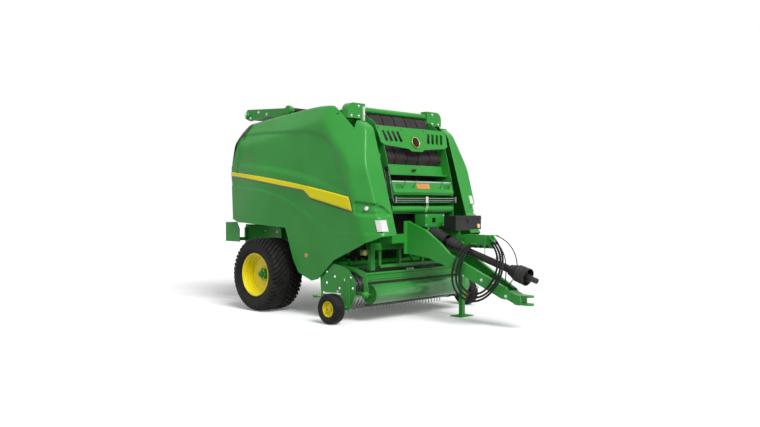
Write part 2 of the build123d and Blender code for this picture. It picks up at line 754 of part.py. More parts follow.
def pickup_reel():
    """A drum between two discs, with the tine bars round it and a row of tines on each."""
    half = end_plate_side + end_plate_thick + 10
    body = hollow_roller(reel_y, reel_z, 55, end_plate_side - 22, reel_shaft, half)
    for x in (-disc_side, disc_side):
        body += rod((x - 5, reel_y, reel_z), (x + 5, reel_y, reel_z), bar_reach + 22)
    tines = []
    for bar in range(tine_bars):
        turn = 360 / tine_bars * bar
        place = Pos(0, reel_y, reel_z) * Rot(turn, 0, 0)
        tines.append(place * rod((-disc_side - 2, 0, -bar_reach), (disc_side + 2, 0, -bar_reach), 15))
        for index in range(tine_count):
            x = (index - (tine_count - 1) / 2) * tine_pitch
            tine = block((x - tine_size / 2, x + tine_size / 2), (-5, 5), (-tine_reach, -bar_reach))
            tines.append(place * tine)
    return body.fuse(*tines)


def windguard():
    """The guard ahead of the tines: a tube and a ribbed sheet between two arms."""
    low, high = guard_arm_side
    body = cross_bar(-1860, 606, 17, high - 3)
    body += side_plate([(-1864, 600), (-1852, 502), (-1847, 502), (-1857, 600)], (-low - 4, low + 4))
    for z in (570, 540):
        body += block((6 - low, low - 6), (-1866, -1854), (z - 4, z + 4))
    for sign in (-1, 1):
        arm = [(pickup_pivot_y, 745), (-1700, 680), (-1866, 640), (-1893, 612), (-1935, 420),
               (-1935, 328), (-1866, 328), (-1852, 480), (-1836, 570), (-1690, 630), (pickup_pivot_y, 722)]
        plate = side_plate(arm, [sign * low, sign * high])
        plate -= rod((sign * (low - 1), guard_roller_y, guard_roller_z),
                     (sign * (high + 1), guard_roller_y, guard_roller_z), guard_shaft + turn_gap)
        foot = side_plate([(pickup_pivot_y - 30, 700), (pickup_pivot_y - 30, 742), (pickup_pivot_y, 745),
                           (pickup_pivot_y + 22, 738), (pickup_pivot_y + 22, pickup_pivot_z + 31)],
                          [sign * low, sign * high])
        body += plate + foot
    return body - cross_bar(pickup_pivot_y, pickup_pivot_z, pickup_tube, end_plate_side)


def windguard_roller():
    """The crop roller that turns between the windguard's arms."""
    return hollow_roller(guard_roller_y, guard_roller_z, guard_roller_radius, guard_roller_half,
                         guard_shaft, guard_arm_side[1])


def gauge_tyre(side):
    """A plain solid tyre."""
    half = gauge_width / 2
    seat = gauge_rim / cos(pi / gauge_sides)
    profile = [(-half + 22, seat), (-half, gauge_rim + 35), (-half + 6, gauge_radius - 22),
               (-half + 26, gauge_radius), (half - 26, gauge_radius), (half - 6, gauge_radius - 22),
               (half, gauge_rim + 35), (half - 22, seat)]
    return facet_ring(profile, (side, gauge_y, gauge_radius), gauge_sides)


def gauge_rim_body(side):
    """The rim with its web and its bored hub."""
    half = gauge_width / 2 - 22
    profile = [(-half, gauge_rim), (half, gauge_rim), (half, gauge_rim - 8), (8, gauge_rim - 12), (8, 34),
               (half, 30), (half, gauge_spindle + turn_gap), (-half, gauge_spindle + turn_gap), (-half, 30),
               (-8, 34), (-8, gauge_rim - 12), (-half, gauge_rim - 8)]
    return ring(profile, (side, gauge_y, gauge_radius))


def feed_rotor():
    """The feed rotor behind the pickup: a drum with fingers set in a spiral."""
    body = cross_bar(rotor_y, rotor_z, rotor_core, wall_side - part_gap)
    body += cross_bar(rotor_y, rotor_z, rotor_shaft, wall_side + wall_thick - 1)
    fingers = []
    for index in range(13):
        x = (index - 6) * 84
        for turn in range(3):
            place = Pos(x, rotor_y, rotor_z) * Rot(120 * turn + 20 * (index % 6), 0, 0)
            fingers.append(place * Box(10, 60, rotor_reach, align=(Align.CENTER, Align.CENTER, Align.MIN)))
    return body.fuse(*fingers) & cross_bar(rotor_y, rotor_z, rotor_reach, wall_side + wall_thick)


def lift_frame():
    """The bars in front of the pickup, hung from the front beam, with arms for the lamps."""
    body = block((-800, 800), lift_beam_y, lift_beam_z)
    body += block((-600, 600), (-1770, -1730), (662, 702))
    for sign in (-1, 1):
        body += block([sign * 585, sign * 625], (-1770, -1730), (690, lift_beam_z[0] + 5))
        body += block([sign * 205, sign * 250], (-1770, -1730), (690, 1080))
        body += block([sign * 722, sign * 800], (-1792, -1740), (640, lift_beam_z[0] + 5))
        body += block([sign * 740, sign * 935], lamp_arm_y, (838, 905))
    for sign in (-1, 1):
        body += block([sign * 205, sign * 250], (-1770, front_beam_y[1]), (1040, 1080))
    return body


# Tailgate: walls outside the chamber walls, rollers and belts between them, rear cover
gate_rear = [(412, 2655), (636, 2440), (740, 2060), (760, 1700), (744, 1500)]
gate_outline = [(pivot_y - 50, pivot_z - 50), (pivot_y - 60, pivot_z), (pivot_y - 40, pivot_z + 48),
                (pivot_y + 20, pivot_z + 62), (-250, 2690), (60, 2715)] + gate_rear + [
                (700, 1330), (560, 1020), (330, 770), (80, 660), (-170, 650), (-200, 1100),
                (-235, 1900), (-330, 2470)]
# Rollers between the tailgate's walls: y, z, radius, all with the belts round them
gate_rollers_table = [(-60, 745, 58), (330, 905, 62), (620, 1500, 55), (560, 2330, 70), (-120, 2560, 55)]


cover_thick = 12


def gate_walls():
    """One wall of the tailgate with its upright rib, bored for the pivot pin."""
    outer = gate_side + wall_thick
    wall = side_plate(gate_outline, (gate_side, outer))
    wall -= rod((gate_side - 1, pivot_y, pivot_z), (outer + 1, pivot_y, pivot_z), pivot_pin + turn_gap)
    return wall + block((outer - 1, outer + 25), (240, 280), (1000, 2500))


def gate_cover():
    """The rear panel: a curved sheet with folded sides, from the top edge to the belts."""
    outer = [(y + cover_thick, z + cover_thick / 2) for y, z in gate_rear]
    half = gate_side + wall_thick + 55
    return side_plate(outer + gate_rear[::-1], (-half, half))


# Belt tension arms, on top of the tailgate
arm_hub_y = 75
arm_hub_z = 2845
arm_hub = 55
arm_hub_roller = 34
arm_plate = (600, 612)
arm_foot_y = (12, 180)
arm_foot_z = 2640


def arm_point(share, rise):
    """A point above or below the line from the arm's hub to its tip."""
    return (arm_hub_y + share * (arm_tip_y - arm_hub_y),
            arm_hub_z + share * (arm_tip_z - arm_hub_z) + rise)


def tension_arms():
    """The arms' side plates with their hub, standing on the tailgate, and the belt roller at the tip."""
    body = hollow_roller(arm_tip_y, arm_tip_z, arm_roller, 560, 24, sum(arm_plate) / 2)
    outline = [(arm_foot_y[0], arm_hub_z - 145), (arm_foot_y[0], arm_hub_z - 45), arm_point(0, arm_hub),
               arm_point(0.1, 40), arm_point(1, 85), arm_point(1.06, 30), arm_point(1.06, -50),
               arm_point(0.93, -98), arm_point(0.52, -57), arm_point(0.22, -86),
               (arm_foot_y[1] + 20, arm_hub_z - 173)]
    parts = []
    for sign in (-1, 1):
        parts.append(side_plate(outline, [sign * value for value in arm_plate]))
        parts.append(rod((sign * 560, arm_hub_y, arm_hub_z),
                         (sign * (gate_side + 30), arm_hub_y, arm_hub_z), arm_hub))
        for side in ([sign * 606, sign * gate_side], [sign * value for value in arm_plate]):
            parts.append(block(side, arm_foot_y, (arm_foot_z, arm_hub_z - 135)))
    return body.fuse(*parts) + cross_bar(arm_hub_y, arm_hub_z, arm_hub_roller - 4, sum(arm_plate) / 2)


arm_rollers_table = [(arm_tip_y, arm_tip_z, arm_roller), (arm_hub_y, arm_hub_z, arm_hub_roller)]


# Side shields: one large moulded panel each side, hinged along the top
shield_facets = [   # point (side, y, z) and outward direction
    ((shield_edge, -2109, 1365), (0, -1, 0.3032)),
    ((1017, -1956, 1865), (0.915, -0.395, 0.075)),
    ((1130, -1500, 1780), (1, -0.02, 0.09)),
    ((1130, -1500, 1780), (1, -0.02, -0.05)),
    ((1092, 850, 1780), (1, 0.10, 0.02)),
    ((1105, -1320, 2340), (0.86, -0.34, 0.38)),
    ((shield_edge, -700, 2768), (0.89, 0.04, 0.46)),
    ((shield_edge, -1454, 2663), (0, -0.52, 0.85)),
    ((shield_edge, -1100, 2785), (0, -0.05, 1)),
    ((shield_edge, -200, 2726), (0, 0.092, 1)),
    ((1080, 740, 2450), (0, 0.964, 0.266)),
    ((1080, 640, 2590), (0, 0.73, 0.68)),
    ((1080, 870, 1980), (0, 1, -0.10)),
]
# What is cut away below the shield, and the zone of its rear strip, as (y, z) points
shield_foot = [(-2400, 1090), (-2190, 1095), (-1830, 945), (-1400, 770), (-1085, 510), (-960, 480),
               (-700, 570), (-600, 750), (-470, 1165), (50, 1195), (730, 1225), (820, 1290),
               (1100, 1300), (1100, 0), (-2400, 0)]
strip_zone = [(880, 1985), (1200, 1985), (1200, 2900), (350, 2900), (480, 2612), (600, 2470)]


def shield_form(inset, sign):
    """The solid inside all the shield's facets, each one moved in by the inset."""
    form = block((sign * (shield_inner - 60), sign * 1300), (-2300, 1000), (450, 2850))
    for (side, y, z), (out, back, up) in shield_facets:
        normal = Vector(sign * out, back, up).normalized()
        origin = Vector(sign * side, y, z) - normal * inset
        form = split(form, Plane(origin=origin, z_dir=normal), keep=Keep.BOTTOM)
    return form


def shields(sign):
    """One side's shell, parted into the main panel with its hinge lugs and the rear strip."""
    shell = shield_form(0, sign) - shield_form(shield_thick, sign)
    shell -= block((sign * 600, sign * shield_inner), (-2400, 1100), (400, 2900))
    shell -= block((sign * 600, sign * (shield_edge - 12)), (-1640, 560), (2480, 2900))
    shell -= side_plate(shield_foot, (sign * 600, sign * 1400))
    zone = side_plate(strip_zone, (sign * 600, sign * 1400))
    strip = shell & zone
    panel = shell - zone
    for y in hinge_rows:
        low = y + hinge_arm + joint_gap
        high = low + 16
        lug = front_plate([(sign * (hinge_side - 22), hinge_z), (sign * hinge_side, hinge_z + 22),
                           (sign * 975, hinge_z - 10), (sign * 1000, hinge_z - 70),
                           (sign * hinge_side, hinge_z - 24)], (low, high))
        lug &= shield_form(1, sign)
        lug -= rod((sign * hinge_side, low - 1, hinge_z), (sign * hinge_side, high + 1, hinge_z),
                   hinge_pin + turn_gap)
        panel += lug
    return panel, strip


def lamp_brackets():
    """The box-shaped carrier behind each wheel: an arm, a side plate and the lamp's back."""
    outer = [(700, 930), (700, 1120), (760, 1214), (lamp_rear_y - 12, 1214), (lamp_rear_y - 12, 930)]
    plate = side_plate(outer, (1040, 1050))
    back = block((850, 1050), (lamp_rear_y - 24, lamp_rear_y - 12), (930, 1214))
    arm = block((rail_side[1], 1042), (rail_end_y - 60, rail_end_y - 10), (935, 985))
    return plate + back + arm


def rear_lamps():
    """A flat rectangular lamp on each carrier."""
    return [block([sign * 875, sign * 1025], (lamp_rear_y - 12, lamp_rear_y), (1095, 1185))
            for sign in (-1, 1)]


def amber_lamps():
    """A round lamp at each end of the lift frame, and the round reflector on the tool box."""
    lamps = [rod((sign * 905, lamp_arm_y[0], 868), (sign * 905, lamp_arm_y[0] - 24, 868), 32)
             for sign in (-1, 1)]
    mark = (box_x[1] - 60, box_y[0], box_z[0] + 45)
    return lamps + [rod(mark, (mark[0], mark[1] - 8, mark[2]), 30)]


def side_mark(sign):
    """A round reflector on the shield's lower flank."""
    skin = shield_form(-6, sign) - shield_form(0, sign)
    return skin & rod((sign * 1000, -874, 804), (sign * 1200, -874, 804), 28)


def front_mark(sign):
    """A square white reflector on the shield's front face."""
    skin = shield_form(-5, sign) - shield_form(0, sign)
    return skin & block([sign * 885, sign * 955], (-2200, -1900), (1490, 1600))


# Net drive: a chain up the front of the right chamber wall, over two sprockets given as
# y, z, radius
net_sprockets = [(-1905, 1935, 30), (-1985, 1520, 38)]
chain_depth = 7
chain_side = (wall_side + wall_thick + 6, wall_side + wall_thick + 20)


def net_drive():
    """The chain as one plain loop, and the two sprockets on their shafts."""
    loop = hull_round(net_sprockets, chain_depth) - hull_round(net_sprockets, 0)
    chain = extrude(Plane.YZ.offset(-chain_side[1]) * loop, amount=chain_side[1] - chain_side[0])
    wheels = []
    for y, z, radius in net_sprockets:
        wheel = rod((-chain_side[0], y, z), (-chain_side[1], y, z), radius - turn_gap)
        wheels.append(wheel + rod((-wall_side - wall_thick, y, z), (-chain_side[1] - 8, y, z), 14))
    return [chain] + wheels


# Hoses and cables
def tube_along(points, radius):
    """A tube along straight runs joined by arcs as large as the runs allow."""
    corners = [Vector(*point) for point in points]
    radii = []
    for before, corner, after in zip(corners, corners[1:], corners[2:]):
        turn = radians((corner - before).get_angle(after - corner))
        shorter = min((corner - before).length, (after - corner).length)
        radii.append(0.45 * shorter / tan(turn / 2))
    path = FilletPolyline(*points, radius=radii)
    section = Plane(origin=points[0], z_dir=corners[1] - corners[0]) * Circle(radius)
    return sweep(section, path=path), path.length, min(radii)


for name, sign in (("right", -1), ("left", 1)):
    save(f"tyre_{name}", tyre(sign * wheel_side))
    save(f"rim_{name}", rim(sign * wheel_side, sign))
    save(f"gauge_tyre_{name}", gauge_tyre(sign * gauge_side))
    save(f"gauge_rim_{name}", gauge_rim_body(sign * gauge_side))
    panel, strip = shields(sign)
    save(f"shield_{name}", panel)
    save(f"rear_strip_{name}", strip)
save("chassis_frame", chassis_frame())
save("front_frame", front_frame())
save("side_walls", *both_sides(side_wall()))
save("top_bar", top_bar())
save("grille", grille())
save("chamber_rollers", *rollers(roller_table + lower_rollers, chamber_inner))
save("front_belts", *belt_loops(roller_table))
save("front_pan", front_pan())
save("net_box", *net_box())
save("net_lid", net_lid())
save("net_rods", net_rods())
save("gearbox", gearbox())
save("input_guard", input_guard())
save("driveline_guard", driveline())
save("pto_yoke", pto_yoke())
save("drawbar", drawbar())
save("hitch_clevis", hitch_clevis())
save("jack_housing", jack_housing())
save("jack_leg", jack_leg())
save("hose_holder", hose_holder())
save("toolbox", toolbox())
save("toolbox_lid", toolbox_lid())
save("pickup_frame", pickup_frame())
save("pickup_bands", *pickup_bands())
save("pickup_reel", pickup_reel())
save("windguard", windguard())
save("windguard_roller", windguard_roller())
save("feed_rotor", feed_rotor())
save("lift_frame", lift_frame())
save("gate_walls", *both_sides(gate_walls()))
save("gate_cover", gate_cover())
save("gate_rollers", *rollers(gate_rollers_table, gate_side - 15))
save("gate_belts", *belt_loops(gate_rollers_table))
save("tension_arms", tension_arms())
save("arm_belts", *belt_loops(arm_rollers_table))
save("lamp_brackets", *both_sides(lamp_brackets()))
save("rear_lamps", *rear_lamps())
save("amber_lamps", *amber_lamps())
save("net_drive", *net_drive())
for name, sign in (("right", -1), ("left", 1)):
    save(f"side_mark_{name}", side_mark(sign))
save("front_mark", front_mark(1))
for routes, radius in ((hose_routes, hose_radius), (cable_routes, cable_radius)):
    for name, points in routes.items():
        tube, length, tightest = tube_along(points, radius)
        print(f"{name}: length {length:.0f}, smallest bend {tightest:.0f}, diameter {2 * radius:.0f}, "
              f"volume over section times length {tube.volume / (length * pi * radius ** 2):.4f}")
        save(name, tube)
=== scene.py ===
import math

import bmesh
import bpy
import numpy as np
from mathutils import Euler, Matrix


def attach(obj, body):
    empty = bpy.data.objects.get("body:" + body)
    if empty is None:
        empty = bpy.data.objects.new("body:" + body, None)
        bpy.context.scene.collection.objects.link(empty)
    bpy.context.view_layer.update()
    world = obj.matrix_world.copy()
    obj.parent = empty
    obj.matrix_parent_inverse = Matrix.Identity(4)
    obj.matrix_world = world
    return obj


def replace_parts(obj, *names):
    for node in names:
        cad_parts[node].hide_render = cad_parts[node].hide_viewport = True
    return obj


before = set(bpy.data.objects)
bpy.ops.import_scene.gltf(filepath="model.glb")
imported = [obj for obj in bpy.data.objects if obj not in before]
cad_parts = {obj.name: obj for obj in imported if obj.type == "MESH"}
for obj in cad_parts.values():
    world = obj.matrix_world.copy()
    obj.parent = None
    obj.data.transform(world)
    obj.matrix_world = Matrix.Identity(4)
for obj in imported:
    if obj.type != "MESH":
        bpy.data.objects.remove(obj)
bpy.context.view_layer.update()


# Camera, at the viewing angle of the photograph: ahead of the machine, to its right, a
# little above the middle of its height.
camera_place = (-7.825, -7.573, 1.506)
camera_turn = math.radians(45.45)
camera_dip = math.radians(0.80)
camera_lens = 37.18
film_width = 36

camera_data = bpy.data.cameras.new("camera")
camera_data.sensor_width = film_width
camera_data.lens = camera_lens
camera = bpy.data.objects.new("camera", camera_data)
camera.location = camera_place
camera.rotation_euler = Euler((math.pi / 2 - camera_dip, 0, -camera_turn), "XYZ")
bpy.context.scene.collection.objects.link(camera)
bpy.context.scene.camera = camera


# Hoses and cables: three pressure hoses of black rubber, parked with their couplers on the
# holder, which hang in a loop over the drawbar. Two thinner rubber cables run from the holder
# to the drawbar.
hose_size = 0.026
cable_size = 0.013


def show(name, data):
    """An object at the origin, unturned, that holds this data."""
    piece = bpy.data.objects.new(name, data)
    bpy.context.scene.collection.objects.link(piece)
    return piece


def hanging_line(name, points, size):
    """A cord as a smooth NURBS line through the pull of its control points."""
    curve = bpy.data.curves.new(name, "CURVE")
    curve.dimensions = "3D"
    curve.resolution_u = 10
    curve.bevel_depth = size / 2
    curve.bevel_resolution = 5
    curve.use_fill_caps = True
    spline = curve.splines.new("NURBS")
    spline.points.add(len(points) - 1)
    for knot, (x, y, z) in zip(spline.points, points):
        knot.co = (x, y, z, 1)
    spline.order_u = 3
    spline.use_endpoint_u = True
    return show(name, curve)


class Finish:
    """The nodes of one material, joined as they are asked for. Patterns lie on the object's
    own coordinates, in metres."""

    def __init__(self, name):
        """A new material with its shader and the object's own coordinates at hand."""
        self.material = bpy.data.materials.new(name)
        self.material.use_nodes = True
        self.nodes = self.material.node_tree.nodes
        self.links = self.material.node_tree.links
        self.shader = self.nodes["Principled BSDF"]
        self.place = self.nodes.new("ShaderNodeTexCoord").outputs["Object"]

    def node(self, kind, inputs=(), **settings):
        """A node of this kind, with each input set to a value or linked to an output."""
        made = self.nodes.new(kind)
        for name, value in settings.items():
            setattr(made, name, value)
        for name, value in dict(inputs).items():
            if isinstance(value, bpy.types.NodeSocket):
                self.links.new(value, made.inputs[name])
            else:
                made.inputs[name].default_value = value
        return made

    def moved(self, centre=(0, 0, 0), turn=(0, 0, 0), stretch=(1, 1, 1)):
        """The coordinates, seen from this centre, turned and stretched."""
        centred = self.node("ShaderNodeVectorMath", {0: self.place, 1: centre}, operation="SUBTRACT")
        return self.node("ShaderNodeMapping", {"Vector": centred.outputs[0], "Rotation": turn,
                                               "Scale": stretch}).outputs[0]

    def noise(self, scale, detail=3, rough=0.55):
        """Cloudy noise with so many waves to the metre."""
        return self.node("ShaderNodeTexNoise", {"Vector": self.place, "Scale": scale, "Detail": detail,
                                                "Roughness": rough}).outputs["Fac"]

    def spread(self, value, low, high, out_low=0.0, out_high=1.0):
        """The value's range from low to high, taken to another range and held there."""
        return self.node("ShaderNodeMapRange", {"Value": value, "From Min": low, "From Max": high,
                                                "To Min": out_low, "To Max": out_high}).outputs[0]

    def sum(self, first, second, operation="ADD"):
        """Two numbers added, or put together by another operation."""
        return self.node("ShaderNodeMath", {0: first, 1: second}, operation=operation).outputs[0]

    def blend(self, share, first, second):
        """Two colours, mixed by the share."""
        mix = self.node("ShaderNodeMix", data_type="RGBA")
        for socket, value in (("Factor_Float", share), ("A_Color", first), ("B_Color", second)):
            target = next(s for s in mix.inputs if s.identifier == socket)
            if isinstance(value, bpy.types.NodeSocket):
                self.links.new(value, target)
            else:
                target.default_value = value if socket == "Factor_Float" else (*value[:3], 1)
        return next(s for s in mix.outputs if s.identifier == "Result_Color")

    def set(self, **sockets):
        """Values or node outputs for the shader's sockets, by name."""
        for name, value in sockets.items():
            socket = self.shader.inputs[name.replace("_", " ").title().replace("Ior", "IOR")]
            if isinstance(value, bpy.types.NodeSocket):
                self.links.new(value, socket)
            else:
                socket.default_value = (*value, 1) if isinstance(value, tuple) and len(value) == 3 else value

    def relief(self, height, strength, distance):
        """Bumps of this height in the surface."""
        bump = self.node("ShaderNodeBump", {"Height": height, "Strength": strength, "Distance": distance})
        self.links.new(bump.outputs["Normal"], self.shader.inputs["Normal"])


dust_colour = (0.34, 0.29, 0.20)
dust_height = 1.1   # above this dust lies only on what faces up
dust_speck = 14


def grown(name, colour, tint, rough, patch, grain, relief, dust=0.0, **sockets):
    """A finish that varies as a real one does: patches of a second tint metres or centimetres
    wide, a fine grain that shifts the gloss, a relief at the same grain, and dust that settles
    low down and on what faces up."""
    made = Finish(name)
    wide = made.spread(made.noise(patch), 0.35, 0.65)
    fine = made.noise(grain, detail=2)
    paint = made.blend(wide, colour, tint)
    gloss = made.spread(fine, 0.3, 0.7, rough[0], rough[1])
    if dust:
        height = made.node("ShaderNodeSeparateXYZ", {"Vector": made.place}).outputs["Z"]
        low = made.spread(height, 0.0, dust_height, 1.0, 0.0)
        upward = made.node("ShaderNodeSeparateXYZ",
                           {"Vector": made.node("ShaderNodeNewGeometry").outputs["Normal"]}).outputs["Z"]
        settled = made.sum(made.spread(upward, 0.2, 1.0, 0.0, 0.5), low)
        speck = made.spread(made.noise(dust_speck, detail=6, rough=0.7), 0.42, 0.75)
        share = made.sum(made.sum(settled, speck, "MULTIPLY"), dust, "MULTIPLY")
        paint = made.blend(share, paint, dust_colour)
        gloss = made.sum(gloss, made.sum(share, 0.5, "MULTIPLY"))
    made.set(base_color=paint, roughness=gloss, **sockets)
    made.relief(fine, *relief)
    return made


def coat(material, *names):
    """Give CAD nodes or new pieces this material."""
    for name in names:
        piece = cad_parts[name] if isinstance(name, str) else name
        piece.data.materials.clear()
        piece.data.materials.append(material)


hose_rubber = grown("hose_rubber", (0.006, 0.006, 0.006), (0.013, 0.013, 0.013), (0.38, 0.55),
                    patch=9, grain=420, relief=(0.25, 0.0006), specular_ior_level=0.18)
hose_routes = {
    "hose_outer": (2.096, [(.055, -1.421, .966), (-.040, -1.425, .954), (-.165, -1.423, .885),
                           (-.265, -1.423, .770), (-.292, -1.401, .612), (-.300, -1.436, .450),
                           (-.300, -1.561, .340), (-.292, -1.716, .300), (-.277, -1.886, .350),
                           (-.255, -2.031, .485), (-.210, -2.096, .650), (-.140, -2.066, .815),
                           (-.064, -1.983, .949), (.013, -1.858, 1.026)]),
    "hose_middle": (1.943, [(.055, -1.453, .970), (-.035, -1.459, .960), (-.150, -1.466, .878),
                            (-.235, -1.466, .765), (-.265, -1.441, .625), (-.275, -1.471, .475),
                            (-.275, -1.581, .375), (-.270, -1.726, .345), (-.257, -1.876, .390),
                            (-.240, -2.001, .510), (-.200, -2.056, .660), (-.130, -2.026, .815),
                            (-.055, -1.936, .940), (.020, -1.811, 1.015)]),
    "hose_inner": (1.791, [(.055, -1.485, .966), (-.030, -1.491, .960), (-.140, -1.506, .885),
                           (-.225, -1.511, .775), (-.250, -1.486, .645), (-.252, -1.496, .515),
                           (-.252, -1.586, .420), (-.247, -1.716, .385), (-.238, -1.851, .430),
                           (-.216, -1.955, .545), (-.176, -2.001, .690), (-.112, -1.969, .832),
                           (-.040, -1.875, .942), (.046, -1.761, 1.000)]),
}
cable_routes = {
    "cable_near": (0.687, [(.084, -1.776, 1.010), (.045, -1.876, .985), (-.015, -1.981, .900),
                           (-.062, -2.051, .790), (-.088, -2.071, .670), (-.093, -2.067, .570),
                           (-.092, -2.061, .500)]),
    "cable_far": (0.711, [(.150, -1.776, 1.088), (.158, -1.881, 1.045), (.162, -1.981, .955),
                          (.157, -2.051, .835), (.142, -2.076, .705), (.118, -2.051, .605),
                          (.094, -2.011, .528)]),
}
for routes, size in ((hose_routes, hose_size), (cable_routes, cable_size)):
    for name, (length, points) in routes.items():
        line = hanging_line(name + "_line", points, size)
        coat(hose_rubber.material, line)
        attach(line, "chassis")
        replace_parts(line, name)


# Frame, walls, drawbar, tailgate and pickup: steel sheet and tube, welded and bolted together,
# then sprayed with green enamel that dries glossy and slightly rippled.
enamel = (0.024, 0.278, 0.031)
enamel_light = (0.036, 0.325, 0.046)
green = grown("green_enamel", enamel, enamel_light, (0.26, 0.40), patch=1.3, grain=230,
              relief=(0.10, 0.0008), dust=0.03, coat_weight=0.05, coat_roughness=0.10,
              specular_ior_level=0.26)
coat(green.material, "top_bar", "chassis_frame", "front_frame", "side_walls", "lift_frame", "drawbar",
     "hitch_clevis", "gearbox", "gate_walls", "gate_cover", "tension_arms", "pickup_frame", "windguard",
     "lamp_brackets", "feed_rotor", "grille", "jack_housing", "jack_leg", "hose_holder", "net_box",
     "net_lid", "front_pan")


# Main tyres: wide flotation tyres of black rubber. Each is moulded in one with its tread, whose
# bars slant away from the middle line by turns on either side. Fine rings mark the sidewalls.
sides = (("right", -1), ("left", 1))   # the near side lies at negative X
axle_y = 1.2989
wheel_radius = 0.505
axle = (axle_y, wheel_radius)
wheel_side = 1.070
tread_bars = 46
tread_lean = math.radians(38)
first_bar = 0.16   # the angle at which the first bar starts
bar_width = 0.034
bar_section = np.array((-0.72, -0.5, 0.5, 0.72))   # foot, edge, edge and foot, in bar widths
half_carcass = [(0.000, 0.4795), (0.080, 0.4790), (0.150, 0.4760), (0.200, 0.4690), (0.225, 0.4580),
                (0.240, 0.4420), (0.248, 0.4220), (0.249, 0.3980), (0.246, 0.3720), (0.238, 0.3460),
                (0.224, 0.3220), (0.209, 0.3030), (0.205, 0.2880), (0.180, 0.2880)]
bar_rows = np.array([   # X from the tyre's middle, the bar's radius there and its foot's
    (0.004, 0.474, 0.474), (0.010, 0.501, 0.474), (0.060, 0.5045, 0.474), (0.120, 0.5045, 0.472),
    (0.165, 0.5035, 0.468), (0.200, 0.4975, 0.462), (0.222, 0.4880, 0.450), (0.238, 0.4730, 0.436),
    (0.2475, 0.4530, 0.420), (0.2495, 0.4300, 0.415), (0.2470, 0.4200, 0.415)])


def rubber(name, centre, ring_pitch, ring_low, ring_high):
    """Tyre rubber with moulded rings: a sine of the distance from the axle, between two radii."""
    made = grown(name, (0.006, 0.006, 0.006), (0.013, 0.013, 0.013), (0.45, 0.7),
                 patch=7, grain=160, relief=(0.3, 0.001), dust=0.05, specular_ior_level=0.14)
    y_z = made.moved((0, *centre), stretch=(0, 1, 1))
    reach = made.node("ShaderNodeVectorMath", {0: y_z}, operation="LENGTH").outputs["Value"]
    wave = made.sum(made.sum(reach, 2 * math.pi / ring_pitch, "MULTIPLY"), 0.0, "SINE")
    inside = made.sum(made.spread(reach, ring_low, ring_low + 0.004),
                      made.spread(reach, ring_high - 0.004, ring_high, 1.0, 0.0), "MULTIPLY")
    grain = made.sum(made.noise(160, detail=2), 0.3, "MULTIPLY")
    made.relief(made.sum(made.sum(wave, inside, "MULTIPLY"), grain), 0.8, 0.0016)
    return made


def grid_faces(rows, columns, closed=False, flip=False):
    """Quads over a grid of rows by columns, joined round where closed."""
    r, c = np.meshgrid(np.arange(rows - 1), np.arange(columns - (0 if closed else 1)), indexing="ij")
    after = (c + 1) % columns
    quads = np.stack([r * columns + c, r * columns + after, (r + 1) * columns + after,
                      (r + 1) * columns + c], axis=-1).reshape(-1, 4)
    return quads[:, ::-1] if flip else quads


def surface(name, points, faces, smooth=True):
    """A mesh object from arrays of points and of faces that all have as many corners."""
    mesh = bpy.data.meshes.new(name)
    faces = np.asarray(faces, np.int32)
    mesh.vertices.add(len(points))
    mesh.vertices.foreach_set("co", np.asarray(points, np.float32).ravel())
    mesh.loops.add(faces.size)
    mesh.loops.foreach_set("vertex_index", faces.ravel())
    mesh.polygons.add(len(faces))
    mesh.polygons.foreach_set("loop_start", np.arange(0, faces.size, faces.shape[1], dtype=np.int32))
    mesh.polygons.foreach_set("use_smooth", np.full(len(faces), smooth))
    mesh.update(calc_edges=True)
    mesh.validate()
    return show(name, mesh)


def weld(piece):
    """Join the points that fall together at poles and seams, and point the faces outwards."""
    form = bmesh.new()
    form.from_mesh(piece.data)
    bmesh.ops.remove_doubles(form, verts=form.verts, dist=2e-6)
    bmesh.ops.dissolve_degenerate(form, dist=1e-6, edges=form.edges)
    bmesh.ops.recalc_face_normals(form, faces=form.faces)
    form.to_mesh(piece.data)
    form.free()
    return piece


def turned(name, profile, places, way, around=32, smooth=True):
    """Like bodies of revolution at several places: each profile point lies so far along the
    way and so far out from it, and goes once round it."""
    profile, places = np.asarray(profile, float), np.atleast_2d(places).astype(float)
    ways = np.broadcast_to(np.asarray(way, float), places.shape)
    ways = ways / np.linalg.norm(ways, axis=1)[:, None]
    helper = np.where(np.abs(ways[:, 2:]) < 0.9, (0.0, 0.0, 1.0), (1.0, 0.0, 0.0))
    first = np.cross(helper, ways)
    first /= np.linalg.norm(first, axis=1)[:, None]
    second = np.cross(ways, first)
    angle = np.arange(around) * 2 * math.pi / around
    out = np.cos(angle)[:, None] * first[:, None] + np.sin(angle)[:, None] * second[:, None]
    points = (places[:, None, None] + profile[:, :1][None, :, None] * ways[:, None, None]
              + profile[:, 1:][None, :, None] * out[:, None])
    one = grid_faces(len(profile), around, closed=True)
    faces = one[None] + np.arange(len(places))[:, None, None] * len(profile) * around
    return weld(surface(name, points.reshape(-1, 3), faces.reshape(-1, 4), smooth))


def both_halves(half):
    """A tyre's whole section: its half mirrored about the middle, the half itself, and the way
    back from bead to bead."""
    return [(-x, radius) for x, radius in reversed(half)] + half[1:] + [(-half[-1][0], half[-1][1])]


